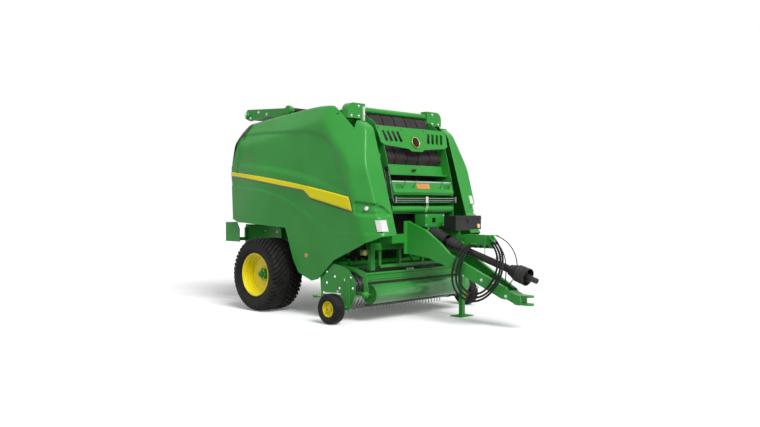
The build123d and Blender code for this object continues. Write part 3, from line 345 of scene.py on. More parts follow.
def tread(name, side):
    """The bars of one tyre: each one's angle runs back with the distance from the middle, by
    the tangent of the lean over the radius, and its section stands on a sunken foot."""
    across = bar_section * bar_width / math.cos(tread_lean) / wheel_radius
    raised = np.array((False, True, True, False))
    x, top, foot = bar_rows.T
    reach = np.where(raised, top[:, None], foot[:, None])
    reach[0], reach[-1] = foot[0], foot[-1]
    slant = -x * math.tan(tread_lean) / wheel_radius
    pitch = 2 * math.pi / tread_bars
    points = []
    for half in (-1, 1):
        starts = np.arange(tread_bars) * pitch + (pitch / 2 if half > 0 else 0)
        turn = starts[:, None, None] + slant[:, None] + across + first_bar
        place_x = np.broadcast_to(side + half * x[:, None], turn.shape)
        points.append(np.stack([place_x, axle[0] + reach * np.sin(turn),
                                axle[1] + reach * np.cos(turn)], axis=-1).reshape(-1, 3))
    one = grid_faces(len(x), len(across))
    faces = one[None] + np.arange(2 * tread_bars)[:, None, None] * len(x) * len(across)
    return weld(surface(name, np.vstack(points), faces.reshape(-1, 4), smooth=False))


def joined(name, pieces):
    """Several meshes as one piece."""
    form = bmesh.new()
    for piece in pieces:
        form.from_mesh(piece.data)
        bpy.data.objects.remove(piece)
    mesh = bpy.data.meshes.new(name)
    form.to_mesh(mesh)
    form.free()
    return show(name, mesh)


def place(piece, body, finish):
    """Finish a piece, and say what it moves with."""
    coat(finish.material, piece)
    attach(piece, body)
    return piece


tyre_rubber = rubber("tyre_rubber", axle, ring_pitch=0.011, ring_low=0.315, ring_high=0.38)
for name, sign in sides:
    carcass = turned("carcass", both_halves(half_carcass), (sign * wheel_side, *axle), (1, 0, 0), 144)
    bars = tread("bars", sign * wheel_side)
    tyre = place(joined("flotation_tyre_" + name, [carcass, bars]), "wheel_" + name, tyre_rubber)
    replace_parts(tyre, "tyre_" + name)


# Gauge tyres: narrow ribless tyres of the same rubber, moulded in one piece, which carry the
# pickup's ends over the ground.
gauge_axle = (-0.336, 0.190)
gauge_side = 1.334
gauge_half = [(0.000, 0.1895), (0.040, 0.1890), (0.058, 0.1850), (0.070, 0.1740), (0.077, 0.1600),
              (0.079, 0.1440), (0.077, 0.1280), (0.070, 0.1120), (0.058, 0.0990), (0.050, 0.0985)]
gauge_rubber = rubber("gauge_rubber", gauge_axle, ring_pitch=0.009, ring_low=0.12, ring_high=0.17)
for name, sign in sides:
    tyre = turned("gauge_wheel_tyre_" + name, both_halves(gauge_half), (sign * gauge_side, *gauge_axle),
                  (1, 0, 0), 96)
    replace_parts(place(tyre, "gauge_wheel_" + name, gauge_rubber), "gauge_tyre_" + name)


# Rims and hubs: pressed steel rims in yellow enamel, with steps rolled into the barrel and a
# valve of rubber. Eight nuts hold each rim on its green cast hub, and six bolts the hub's cap.
hub_face = 1.152
hub_profile = [   # along the axle from the hub's face, and radius
    (-0.070, 0), (-0.070, 0.072), (0.002, 0.0725), (0.008, 0.069), (0.011, 0.045), (0.040, 0.040),
    (0.054, 0.035), (0.061, 0.022), (0.062, 0)]
rim_steps = [     # along the axle from the tyre's middle, and radius
    (0.2080, 0.2790), (0.2120, 0.2985), (0.2170, 0.3000), (0.2210, 0.2965), (0.2205, 0.2890),
    (0.2160, 0.2840), (0.2050, 0.2775), (0.1840, 0.2750), (0.1810, 0.2640), (0.1340, 0.2590),
    (0.1310, 0.2480), (0.0980, 0.2440), (0.0950, 0.2330), (0.0740, 0.2310), (0.0720, 0.2790),
    (0.2080, 0.2790)]
nut_face, nut_circle, nut_size = 1.114, 0.105, 0.026
cap_face, cap_circle, cap_bolt = hub_face + 0.010, 0.057, 0.009
valve_profile = [(-0.02, 0), (-0.02, 0.008), (0.03, 0.006), (0.05, 0.005), (0.052, 0)]
valve_height = 0.235
valve_lean = 0.25
rim_yellow = grown("rim_yellow", (0.86, 0.72, 0.004), (0.93, 0.80, 0.010), (0.22, 0.34),
                   patch=5, grain=260, relief=(0.12, 0.0006), dust=0.05, coat_weight=0.12,
                   coat_roughness=0.08)
zinc = grown("zinc_plate", (0.50, 0.51, 0.53), (0.62, 0.62, 0.62), (0.25, 0.42), patch=22, grain=300,
             relief=(0.15, 0.0005), dust=0.1, metallic=1.0)


def ring_of(centre, radius, count, start=0.0):
    """Places evenly round an axle across the machine."""
    angle = start + np.arange(count) * 2 * math.pi / count
    return np.array(centre) + np.column_stack([np.zeros(count), radius * np.cos(angle),
                                               radius * np.sin(angle)])


def fasten(name, body, finish, places, way, size):
    """Hexagon heads on round washers, all of one size across the flats."""
    head = turned("head", [(0, 0), (0, size * 0.5), (size * 0.46, size * 0.55), (size * 0.6, size * 0.46),
                           (size * 0.6, 0)], places, way, 6, smooth=False)
    washer = turned("washer", [(0, 0), (0, size * 0.95), (size * 0.13, size * 0.95), (size * 0.13, 0)],
                    places, way, 16, smooth=False)
    return place(joined(name, [head, washer]), body, finish)


def crisp(piece, degrees):
    """Split the shading along each edge that is sharper than this."""
    edge = piece.modifiers.new("crisp", "EDGE_SPLIT")
    edge.split_angle = math.radians(degrees)


coat(rim_yellow.material, "rim_right", "rim_left", "gauge_rim_right", "gauge_rim_left")
for name, sign in sides:
    body, outward = "wheel_" + name, (sign, 0, 0)
    place(turned("hub_" + name, hub_profile, (sign * hub_face, *axle), outward, 48), body, green)
    nuts = ring_of((sign * nut_face, *axle), nut_circle, 8)
    fasten("wheel_nuts_" + name, body, rim_yellow, nuts, outward, nut_size)
    steps = place(turned("rim_steps_" + name, rim_steps, (sign * wheel_side, *axle), outward, 144),
                  body, rim_yellow)
    crisp(steps, 35)
    cap_bolts = ring_of((sign * cap_face, *axle), cap_circle, 6)
    fasten("hub_bolts_" + name, body, zinc, cap_bolts, outward, cap_bolt)
    valve_foot = (sign * hub_face, axle_y, wheel_radius + valve_height)
    place(turned("valve_" + name, valve_profile, valve_foot, (sign, 0, valve_lean), 12), body,
          hose_rubber)


# Lamps and reflectors: polished lenses moulded of red, amber and clear plastic, which are
# screwed to the brackets and to the front frame or stuck on the shields.
def lens(name, colour, deep):
    """A lens under a clear coat, in patches of two close tints."""
    return grown(name, colour, deep, (0.08, 0.16), patch=18, grain=500, relief=(0.2, 0.0004),
                 coat_weight=0.8, coat_roughness=0.04)


red_lens = lens("red_lens", (0.55, 0.012, 0.008), (0.38, 0.006, 0.004))
amber_lens = lens("amber_lens", (0.86, 0.30, 0.03), (0.62, 0.16, 0.01))
white_lens = lens("white_lens", (0.84, 0.84, 0.80), (0.70, 0.71, 0.69))
pale_lens = lens("pale_lens", (0.90, 0.66, 0.34), (0.86, 0.50, 0.20))
coat(red_lens.material, "rear_lamps")
coat(amber_lens.material, "side_mark_right", "side_mark_left")
coat(pale_lens.material, "amber_lamps")
coat(white_lens.material, "front_mark")


# Belts: endless flat bands of ribbed rubber, woven inside, that roll the crop up in the
# chamber. They run over the rollers of the chamber, the tailgate and the tension arms.
belt_rubber = grown("belt_rubber", (0.020, 0.015, 0.016), (0.034, 0.026, 0.027), (0.5, 0.72),
                    patch=4, grain=180, relief=(0.3, 0.0008), dust=0.04, specular_ior_level=0.25)
coat(belt_rubber.material, "front_belts", "gate_belts", "arm_belts")


# Black mouldings: the tool box with its lid, and the guard over the driveline's input, blow
# moulded of matt black plastic and screwed on.
black_moulding = grown("black_moulding", (0.012, 0.012, 0.013), (0.020, 0.020, 0.021), (0.40, 0.55),
                       patch=3, grain=900, relief=(0.35, 0.0004), dust=0.1, specular_ior_level=0.3)
coat(black_moulding.material, "input_guard", "toolbox", "toolbox_lid")


# Rollers, rods and bands: turned and bent of bare steel. The crop keeps the pickup's bands,
# its tines and the net rods bright. The belts' rollers are painted dark as the shade in the
# gaps between the belts, and the net drive is given the same dark finish.
steel = grown("bare_steel", (0.30, 0.30, 0.31), (0.42, 0.41, 0.40), (0.3, 0.5), patch=16, grain=240,
              relief=(0.2, 0.0005), dust=0.15, metallic=1.0)
# Dark steel: its colour is painted shade on the belts' rollers, and the net drive's dark finish.
dark_and_shaded_steel = grown("dark_and_shaded_steel", (0.05, 0.05, 0.05), (0.09, 0.085, 0.08), (0.4, 0.6), patch=10,
                   grain=240, relief=(0.2, 0.0005), dust=0.1, metallic=0.6)
coat(steel.material, "net_rods", "pickup_reel", "pickup_bands")
coat(dark_and_shaded_steel.material, "chamber_rollers", "gate_rollers", "net_drive")


# Side shields: one large pressed panel on each side, hinged along the top and enamelled green.
# Its facets meet in soft edges, and a strip of dark grey plastic finishes its rear edge.
shield_middle = np.array((0.45, -0.600, 1.75))   # as all of the shield's points, Y is from the axle
front_y, front_z, front_lean = -2.109, 1.365, 0.3032
facet_points = np.array([
    (0.945, front_y, front_z), (1.017, -1.956, 1.865), (1.130, -1.500, 1.780), (1.130, -1.500, 1.780),
    (1.092, 0.850, 1.780), (1.105, -1.320, 2.340), (0.945, -0.700, 2.768), (0.945, -1.454, 2.663),
    (0.945, -1.100, 2.785), (0.945, -0.200, 2.726), (1.080, 0.740, 2.450), (1.080, 0.640, 2.590),
    (1.080, 0.870, 1.980)])
facet_ways = np.array([
    (0, -1, front_lean), (0.915, -0.395, 0.075), (1, -0.02, 0.09), (1, -0.02, -0.05), (1, 0.10, 0.02),
    (0.86, -0.34, 0.38), (0.89, 0.04, 0.46), (0, -0.52, 0.85), (0, -0.05, 1), (0, 0.092, 1),
    (0, 0.964, 0.266), (0, 0.73, 0.68), (0, 1, -0.10)])
facet_ways = facet_ways / np.linalg.norm(facet_ways, axis=1)[:, None]
facet_reach = np.sum(facet_ways * facet_points, axis=1)
edge_power = 90   # the higher, the tighter the facets meet
shield_sheet = 0.008
inner_edge, top_edge = 0.735, 0.933
front_corner, rear_corner = 0.965, 1.085   # X of the foot's two corners
roof_spans = np.array([   # Y of the top edge, and below it Y and Z of the foot
    (-1.640, -2.170, 1.086), (-1.450, -1.830, 0.945), (-1.200, -1.400, 0.770), (-1.000, -1.085, 0.510),
    (-0.930, -0.960, 0.480), (-0.780, -0.700, 0.570), (-0.680, -0.600, 0.750), (-0.500, -0.470, 1.165),
    (0.000, 0.050, 1.195), (0.456, 0.450, 1.213)])
strip_spans = np.array([  # Y and Z of the strip's front edge, and below it Y and Z of the foot
    (0.480, 2.612, 0.500, 1.215), (0.600, 2.470, 0.620, 1.220), (0.866, 2.008, 0.798, 1.274)])
foot_front, front_head, foot_rear, strip_low = 1.090, 2.56, 1.277, 1.985   # Z
strip_foot, strip_head, strip_corner = 1.992, 2.62, 1.075   # Z, Z and X on the strip's rear face
strip_gap = (0.005, 0.002)      # Y and Z between panel and strip
strip_tip = (top_edge - 0.012, 0.466)
within_front, within_rear, within_top = -1.0, 0.4, 2.4   # spots inside the body, to start out from
skin_near, skin_far, halvings = 0.5, 1.3, 26             # X on either side of the skin
aside, ahead, behind, skyward = (1, 0, 0), (0, -1, 0), (0, 1, 0), (0, 0, 1)


def walk(corners, step):
    """Points along straight lines between the corners, about one step apart."""
    corners = np.asarray(corners, float)
    count = np.maximum(1, np.ceil(np.linalg.norm(np.diff(corners, axis=0), axis=1) / step)).astype(int)
    runs = [a + (b - a) * np.linspace(0, 1, n, endpoint=False)[:, None]
            for a, b, n in zip(corners, corners[1:], count)]
    return np.vstack(runs + [corners[-1:]])


def out_to_facets(points, way):
    """Each point moved along the way until it meets the nearest facet's plane."""
    toward = facet_ways @ np.asarray(way, float)
    left = facet_reach - points @ facet_ways.T
    steps = np.where(toward > 1e-6, left / np.where(toward > 1e-6, toward, 1), np.inf)
    return points + steps.min(axis=1)[:, None] * np.asarray(way, float)


def on_shield(points):
    """Each point moved along its ray from the shield's middle onto the soft-edged body: the
    reach is one over the high power mean of the ray's shares of the facets' distances."""
    rays = points - shield_middle
    share = np.maximum(rays @ facet_ways.T / (facet_reach - facet_ways @ shield_middle), 0)
    size = np.sum(share ** edge_power, axis=-1) ** (1 / edge_power)
    return shield_middle + rays / size[..., None]


def skin_side(y, z):
    """How far out the soft-edged skin lies at this Y and Z, halving the interval each time."""
    low, high = np.full(np.shape(y), skin_near), np.full(np.shape(y), skin_far)
    for _ in range(halvings):
        middle = (low + high) / 2
        spot = np.stack([middle, y, z], axis=-1)
        skin = on_shield(spot)
        inside = np.linalg.norm(spot - shield_middle, axis=-1) < np.linalg.norm(skin - shield_middle, axis=-1)
        low, high = np.where(inside, middle, low), np.where(inside, high, middle)
    return low


def thicken(piece, depth):
    """A wall of this depth, grown inwards from the surface."""
    wall = piece.modifiers.new("wall", "SOLIDIFY")
    wall.thickness, wall.offset = depth, -1
    return piece


def row_frame(points, sign):
    """Points given by their distance out, Y from the axle and Z, on one side of the machine."""
    points = np.array(points, float)
    points[..., 0] *= sign
    points[..., 1] += axle_y
    return points


def side_rows(pairs, side):
    """Points given by Y and Z, all at this X."""
    return np.column_stack([np.full(len(pairs), side), pairs])


def evenly(points, count):
    """This many points along a broken line, evenly by its length."""
    reach = np.concatenate([[0], np.cumsum(np.linalg.norm(np.diff(points, axis=0), axis=1))])
    return np.column_stack([np.interp(np.linspace(0, reach[-1], count), reach, points[:, axis])
                            for axis in range(3)])


def points_at(x, y, z):
    """Points from columns or single values of X, Y and Z."""
    return np.column_stack(np.broadcast_arrays(x, y, z)).astype(float)


def panel_edges(step=0.016):
    """The panel's foot and top, point for point from the front's inner corner to the rear's,
    and its front and rear inner edges, upwards. Each is drawn inside the body first and then
    moved straight out."""
    share = np.linspace(0, 1, 12)[:-1]
    roof, strip = walk(roof_spans, step), walk(strip_spans, step)
    rear = np.linspace(rear_corner, inner_edge, 16)
    low = np.vstack([
        out_to_facets(points_at(inner_edge + share * (front_corner - inner_edge), within_front, foot_front),
                      ahead),
        out_to_facets(side_rows(np.vstack([roof[:, 1:], strip[:, 2:]]), inner_edge), aside),
        out_to_facets(points_at(rear, within_rear, foot_rear), behind)])
    top = np.vstack([
        out_to_facets(points_at(inner_edge + share * (top_edge - inner_edge), roof_spans[0, 0], within_top),
                      skyward),
        out_to_facets(points_at(top_edge, roof[:, 0], within_top), skyward),
        out_to_facets(side_rows(strip[:, :2], inner_edge), aside),
        out_to_facets(points_at(rear, within_rear, strip_low), behind)])
    front = out_to_facets(points_at(inner_edge, within_front, np.linspace(foot_front, front_head, 60)), ahead)
    back = out_to_facets(points_at(inner_edge, within_rear, np.linspace(foot_rear, strip_low, 8)), behind)
    return low, top, np.vstack([front, top[:1]]), back


def strip_edges(step=0.02):
    """The rear strip's lower and upper edge, from its front edge round the corner to its inner
    edge, and those two edges upwards, moved out in the same way."""
    seam = out_to_facets(side_rows(strip_spans[::-1, :2] + strip_gap, inner_edge), aside)
    corner = out_to_facets(points_at(*strip_tip, within_top), skyward)
    seam = np.vstack([walk(seam, step), corner])
    low = points_at(np.linspace(strip_corner, inner_edge, 15), within_rear, strip_foot)
    low = np.vstack([seam[:1], out_to_facets(low, behind)])
    up = out_to_facets(points_at(inner_edge, within_rear, np.linspace(strip_foot, strip_head, 40)), behind)
    top = corner + np.linspace(0, 1, len(low))[:, None] * (up[-1] - corner)
    return low, out_to_facets(top, skyward), seam, up


# Relief of the shields, pressed into the sheet: a recess, a dip below the stripe and a valley
# that holds the latch. Lines are pairs of Y, from the axle, and Z, from front to rear.
crease_line = np.array([(-1.800, 0.900), (-1.720, 1.640), (-1.619, 1.864), (-1.509, 2.070), (-1.400, 2.241),
                        (-1.276, 2.351), (-1.076, 2.433), (-0.835, 2.470), (-0.403, 2.493), (0.086, 2.512),
                        (0.620, 2.506)])
ledge_line = np.array([(-1.780, 1.600), (-1.332, 1.782), (-0.893, 1.909), (-0.256, 2.023), (0.452, 2.104),
                       (0.900, 2.125)])
ridge_line = np.array([(-1.300, 1.120), (-1.072, 1.252), (-0.880, 1.354), (-0.603, 1.486), (-0.271, 1.596),
                       (0.056, 1.668), (0.440, 1.701), (0.900, 1.740)])
stripe_line = np.array([(-1.850, 1.370), (-0.950, 1.580), (-0.850, 1.660), (0.000, 1.790), (0.900, 1.880)])
valley_rows = np.array([  # way round the front corner, Z of the valley's upper and lower edge
    (0.00, 1.500, 1.348), (0.05, 1.531, 1.339), (0.31, 1.492, 1.322), (0.45, 1.455, 1.322),
    (0.54, 1.385, 1.330), (0.60, 1.340, 1.336)])
recess, dip, valley_depth, lip = 0.022, 0.010, 0.038, 0.006
flank = 0.93                                      # recess and dip lie outside this X
crease_width, ledge_width = 0.032, 0.11           # how far each slope runs
ridge_width, dip_width = 0.035, 0.12
recess_end, recess_run_out = 0.630, 0.05          # the Y where the recess ends, and its slope
corner_x, corner_y, corner_run_in = 1.0, -1.780, 0.06
valley_above, valley_below, valley_end = 0.035, 0.025, -1.0
lip_side, lip_rows = 0.95, 1.5                    # the lip lies outside this X, on so many rows


def ease(value):
    """The smooth step: three squares less two cubes of the value held between 0 and 1."""
    value = np.clip(value, 0, 1)
    return value * value * (3 - 2 * value)


def below(line, y, z):
    """The distance to a broken line in the side view, negative above the line."""
    start, run = line[:-1], np.diff(line, axis=0)
    spot = np.stack([y, z], axis=-1)[:, None] - start
    share = np.clip(np.sum(spot * run, axis=-1) / np.sum(run * run, axis=-1), 0, 1)
    apart = np.linalg.norm(spot - share[..., None] * run, axis=-1).min(axis=1)
    return np.where(z < np.interp(y, line[:, 0], line[:, 1]), apart, -apart)


def relief_depth(points):
    """How far in the pressed relief lies: a recess under the crease and above the ledge, a dip
    between the stripe and the ridge, and the latch's valley round the front corner."""
    side, y, z = points.T
    upper = (ease(below(crease_line, y, z) / crease_width) * ease(1 - below(ledge_line, y, z) / ledge_width)
             * ease((recess_end - y) / recess_run_out))
    middle = ease(below(stripe_line, y, z) / dip_width) * ease(-below(ridge_line, y, z) / ridge_width)
    round_corner = np.clip(corner_y - y, 0, None) + np.clip(corner_x - side, 0, None)
    high = np.interp(round_corner, valley_rows[:, 0], valley_rows[:, 1])
    low = np.interp(round_corner, valley_rows[:, 0], valley_rows[:, 2])
    valley = (ease((high - z) / valley_above) * ease((z - low) / valley_below)
              * ease(round_corner / corner_run_in) * (y < valley_end))
    return (recess * upper + dip * middle) * (side > flank) + valley_depth * valley


def soft_panel(name, edges, rows, sign):
    """A patch drawn between four edges: the two ruled surfaces between opposite edges, less the
    one between its corners. Each point is then moved out onto the soft body, and in again by
    the relief; the first rows above the foot roll outwards into a lip."""
    low, top, front, back = edges
    front, back = evenly(front, rows), evenly(back, rows)
    along = np.linspace(0, 1, len(low))[None, :, None]
    up = np.linspace(0, 1, rows)[:, None, None]
    corners = ((1 - up) * ((1 - along) * low[0] + along * low[-1])
               + up * ((1 - along) * top[0] + along * top[-1]))
    patch = ((1 - up) * low + up * top + (1 - along) * front[:, None] + along * back[:, None] - corners)
    points = on_shield(patch).reshape(-1, 3)
    inward = points - shield_middle
    inward /= np.linalg.norm(inward, axis=1)[:, None]
    outer = (np.abs(points[:, 0]) > lip_side).reshape(rows, -1)
    rolled = lip * (1 - ease((np.arange(rows) - 0.5) / lip_rows))[:, None] * outer
    points = points - inward * (relief_depth(points) - rolled.ravel())[:, None]
    faces = grid_faces(rows, len(low), flip=sign < 0)
    return thicken(surface(name, row_frame(points, sign), faces), shield_sheet)


grey_moulding = grown("grey_moulding", (0.032, 0.029, 0.026), (0.042, 0.038, 0.034), (0.4, 0.55),
                      patch=2, grain=900, relief=(0.35, 0.0004), dust=0.08, specular_ior_level=0.3)
panel_rows, strip_rows = 150, 34
for name, sign in sides:
    panel = soft_panel("panel_" + name, panel_edges(), panel_rows, sign)
    strip = soft_panel("edge_strip_" + name, strip_edges(), strip_rows, sign)
    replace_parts(place(panel, "shield_" + name, green), "shield_" + name)
    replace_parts(place(strip, "shield_" + name, grey_moulding), "rear_strip_" + name)


# The stripe: yellow film with a dark border, stuck on the pressed panel. It runs forward along
# the panel and widens into a blank slanted field behind the latch.
stripe_top = (1.957, -0.089, -0.0228)   # Z of the top edge at its start, its slope and its bend
stripe_start = 0.863                    # the Y that its parabola runs forward from
stripe_keys = np.array([   # Y of the top edge, Y and Z of the lower edge
    (0.850, 0.850, 1.9019), (-0.871, -0.871, 1.672), (-1.000, -1.006, 1.567), (-1.717, -1.770, 1.396)])
stripe_width = 0.0555
film = 0.0012
stations = 181
border_widths = (0.006, 0.015, 0.013)   # above, below and ahead of the yellow
border_lift, field_lift = 0.0022, 0.0036


def stripe_height(y):
    """The top edge's Z: a gentle parabola of the distance from the rear end."""
    run = stripe_start - y
    return stripe_top[0] + stripe_top[1] * run + stripe_top[2] * run ** 2


def film_strip(name, sign, over, under, forward, lift):
    """A strip between the stripe's two edges, moved apart by the border's widths and laid on
    the skin; the front end slants more, by a high power of the share along it."""
    knots = np.linspace(0, len(stripe_keys) - 1, stations)
    high_y = np.interp(knots, np.arange(len(stripe_keys)), stripe_keys[:, 0])
    low_y = np.interp(knots, np.arange(len(stripe_keys)), stripe_keys[:, 1])
    low_z = np.interp(knots, np.arange(len(stripe_keys)), stripe_keys[:, 2])
    even = stripe_height(low_y) - stripe_width
    low_z = np.where(knots <= 1, even + (low_z - even) * knots, low_z) - under
    high_z = stripe_height(high_y) + over
    front = np.clip(knots - 2, 0, 1) ** 12 * forward
    across = np.linspace(0, 1, 9)[:, None]
    y = high_y + (low_y - high_y) * across - front
    z = high_z + (low_z - high_z) * across
    points = row_frame(np.stack([skin_side(y, z) + lift, y, z], axis=-1).reshape(-1, 3), sign)
    return thicken(surface(name, points, grid_faces(len(across), len(knots), flip=sign > 0)), film)


stripe_yellow = grown("stripe_yellow", (0.95, 0.84, 0.004), (0.98, 0.88, 0.006), (0.3, 0.4), patch=3,
                      grain=300, relief=(0.08, 0.0004), specular_ior_level=0.25)
stripe_dark = grown("stripe_dark", (0.010, 0.022, 0.012), (0.014, 0.030, 0.016), (0.25, 0.35), patch=3,
                    grain=300, relief=(0.08, 0.0004), coat_weight=0.5, coat_roughness=0.1)
films = (("border", stripe_dark, "black_paint", border_widths, border_lift),
         ("field", stripe_yellow, "rim_paint", (0, 0, 0), field_lift))
for name, sign in sides:
    for part, finish, slot, spread, lift in films:
        place(film_strip(f"stripe_{part}_{name}", sign, *spread, lift), "shield_" + name, finish)


# Latch of each shield: a plated turning knob in its pressed pocket, which works the lock behind
# it. Below it a blank plate of white film is stuck on the front facet and round its corner.
latch_place = np.array((1.022, -1.945, 1.430))
latch_way = (0.80, -0.60, 0.05)
knob_profile = [(-0.030, 0), (-0.030, 0.022), (0.006, 0.022), (0.010, 0.030), (0.022, 0.032), (0.034, 0.026),
                (0.040, 0.012), (0.041, 0)]
plate_low, plate_high = 1.148, 1.288
plate_plan = ((0.872, 0.0), (0.985, 0.0), (1.010, 0.058))    # X, and how far behind the front facet
plate_lift = 0.001
plate_depth = (0, -0.0035, 0.001)
plate_white = grown("plate_white", (0.72, 0.72, 0.70), (0.80, 0.80, 0.79), (0.3, 0.42), patch=8, grain=400,
                    relief=(0.1, 0.0003), dust=0.1)


def slab(name, corners, depth, round_edge=0.0):
    """A flat piece: its corners in order, moved by the way and distance that it is thick, with
    rounded edges where asked for."""
    low = np.asarray(corners, float)
    count = len(low)
    points = np.vstack([low, low + np.asarray(depth, float)])
    ring = np.arange(count)
    walls = np.column_stack([ring, (ring + 1) % count, (ring + 1) % count + count, ring + count])
    mesh = bpy.data.meshes.new(name)
    mesh.from_pydata(points.tolist(), [], [list(ring[::-1]), list(ring + count)] + walls.tolist())
    piece = weld(show(name, mesh))
    if round_edge:
        edge = piece.modifiers.new("edge", "BEVEL")
        edge.width, edge.segments = round_edge, 2
    return piece


for name, sign in sides:
    body = "shield_" + name
    outward = (sign * latch_way[0], *latch_way[1:])
    place(turned("latch_" + name, knob_profile, row_frame(latch_place, sign), outward, 28), body, zinc)
    halves = []
    for (x_in, y_in), (x_out, y_out) in zip(plate_plan, plate_plan[1:]):
        front = [(sign * x, front_y + front_lean * (z - front_z) + axle_y + plate_lift + y, z)
                 for x, y, z in ((x_in, y_in, plate_low), (x_out, y_out, plate_low),
                                 (x_out, y_out, plate_high), (x_in, y_in, plate_high))]
        halves.append(slab("half", front, plate_depth))
    place(joined("front_plate_" + name, halves), body, plate_white)


# Hinges of the shields: two lugs of green plate welded inside each panel, which turn on the
# pins of the top bar's arms.
lug_outline = np.array([   # X and Z
    (0.863, 2.700), (0.885, 2.722), (0.960, 2.694), (0.972, 2.664), (0.925, 2.668), (0.885, 2.676)])
lug_starts = (-1.359, -0.614)   # Y from the axle
lug_thick = 0.016


def front_rows(pairs, y):
    """Points given by X and Z, at this Y or with a Y for each."""
    pairs = np.asarray(pairs, float)
    return np.column_stack([pairs[:, 0], np.broadcast_to(y, len(pairs)), pairs[:, 1]])


for name, sign in sides:
    lugs = [slab("lug", front_rows(lug_outline * (sign, 1), start + axle_y), (0, lug_thick, 0))
            for start in lug_starts]
    place(joined("shield_lugs_" + name, lugs), "shield_" + name, green)


# Grille: a pressed panel with slanted slots, bolted along its top edge. Its round badge is
# blank black enamel in a gilt rim.
grille_top = np.array((0, -0.4661, 2.500))
grille_down = np.array((0, -0.2888, -0.9574))
grille_out = np.array((0, -0.9574, 0.2888))
badge_down, badge_lift = 0.205, 0.014
badge_place = grille_top + badge_down * grille_down + badge_lift * grille_out
badge_face = [(0, 0), (0, 0.069), (0.004, 0.068), (0.007, 0.050), (0.008, 0)]
badge_rim = [(0, 0.0675), (0, 0.076), (0.008, 0.076), (0.010, 0.0735), (0.008, 0.0685), (0.003, 0.0675),
             (0, 0.0675)]
bolt_sides = (-0.66, -0.22, 0.22, 0.66)
bolt_down, bolt_lift, bolt_size = 0.030, 0.006, 0.016
gilt = grown("gilt", (0.72, 0.50, 0.10), (0.80, 0.60, 0.16), (0.25, 0.35), patch=20, grain=500,
             relief=(0.1, 0.0003), metallic=0.8)
badge_black = grown("badge_black", (0.008, 0.010, 0.008), (0.014, 0.018, 0.014), (0.12, 0.2), patch=20,
                    grain=500, relief=(0.1, 0.0003), specular_ior_level=0.15)
place(turned("badge_face", badge_face, badge_place, grille_out, 48), "chassis", badge_black)
place(turned("badge_rim", badge_rim, badge_place, grille_out, 48), "chassis", gilt)
grille_bolts = [grille_top + bolt_down * grille_down + bolt_lift * grille_out + (x, 0, 0) for x in bolt_sides]
fasten("grille_bolts", "chassis", green, grille_bolts, grille_out, bolt_size)


# Work lamp: a slim pale moulding, screwed upright to the inner end of the near top bracket.
# Three plated bolts hold each of the two brackets.
lamp_foot = (-0.672, -0.232, 2.560)
lamp_width, lamp_height, lamp_edge = 0.030, 0.200, 0.006
bracket_spots = ((0.73, 2.63), (0.73, 2.76), (0.86, 2.63))   # X and Z
bracket_face, bracket_bolt = -0.2015, 0.020


def oblong(low, high):
    """The four corners of an oblong, as pairs, from its low corner round to the left one above."""
    return np.array([low, (high[0], low[1]), high, (low[0], high[1])], float)


x, y, z = lamp_foot
lamp_plan = np.column_stack([oblong((x, y), (x + lamp_width, y + lamp_width)), np.full(4, z)])
place(slab("light_bar", lamp_plan, (0, 0, lamp_height), lamp_edge), "chassis", white_lens)
top_bolts = [(sign * x, bracket_face, z) for _, sign in sides for x, z in bracket_spots]
fasten("top_bolts", "chassis", zinc, top_bolts, (0, -1, 0), bracket_bolt)


# Net wrap lid: a sloping sheet with a plated strip along its top, four bent wire catches in
# black paint and a blank amber plate. The pan above it has a black push button.
lid_low = np.array((0, -0.7061, 1.640))
lid_high = np.array((0, -0.6571, 1.788))
lid_out = np.cross((1, 0, 0), (lid_high - lid_low) / np.linalg.norm(lid_high - lid_low))
lid_out = lid_out * np.sign(-lid_out[1])
lid_lift = 0.0015
strip_ends = oblong((-0.59, 0.965), (0.59, 0.86))     # X, and share of the way up the lid
amber_ends = oblong((-0.14, 0.76), (0.12, 0.30))
strip_depth, amber_depth, sheet_edge = 0.003, 0.0025, 0.0008
catch_sides = (-0.42, -0.22, 0.32, 0.50)
catch_path = ((0.0, 0.40, 0.0), (0.0, 0.44, 0.030), (0.09, 1.10, 0.030),
              (0.10, 0.97, 0.0))   # X from its side, share of the way up, and height over the lid
catch_wire = 0.004
plate_amber = grown("plate_amber", (0.60, 0.22, 0.05), (0.70, 0.30, 0.08), (0.3, 0.4), patch=14, grain=400,
                    relief=(0.1, 0.0003), dust=0.1)
black_paint = grown("black_paint", (0.010, 0.010, 0.010), (0.018, 0.018, 0.018), (0.35, 0.5),
                    patch=3, grain=220, relief=(0.15, 0.0006), dust=0.15)


def lid_point(x, share, out=0.0):
    """A spot on the lid's sloping face, by its share of the way up, and so far out from it."""
    return lid_low + share * (lid_high - lid_low) + (x, 0, 0) + out * lid_out


def carried(name, path, radius, around=10):
    """A wire or tube: a circle carried along the path, square to it at each point, with its
    ends closed."""
    path = np.asarray(path, float)
    way = np.gradient(path, axis=0)
    way /= np.linalg.norm(way, axis=1)[:, None]
    helper = np.eye(3)[np.argmin(np.abs(way).max(axis=0))]
    first = np.cross(way, helper)
    first /= np.linalg.norm(first, axis=1)[:, None]
    second = np.cross(way, first)
    angle = np.arange(around) * 2 * math.pi / around
    ring = radius * (np.cos(angle)[:, None] * first[:, None] + np.sin(angle)[:, None] * second[:, None])
    points = path[:, None] + ring
    points = np.concatenate([path[:1, None] + 0 * ring[:1], points, path[-1:, None] + 0 * ring[-1:]])
    faces = grid_faces(len(points), around, closed=True)
    return weld(surface(name, points.reshape(-1, 3), faces))


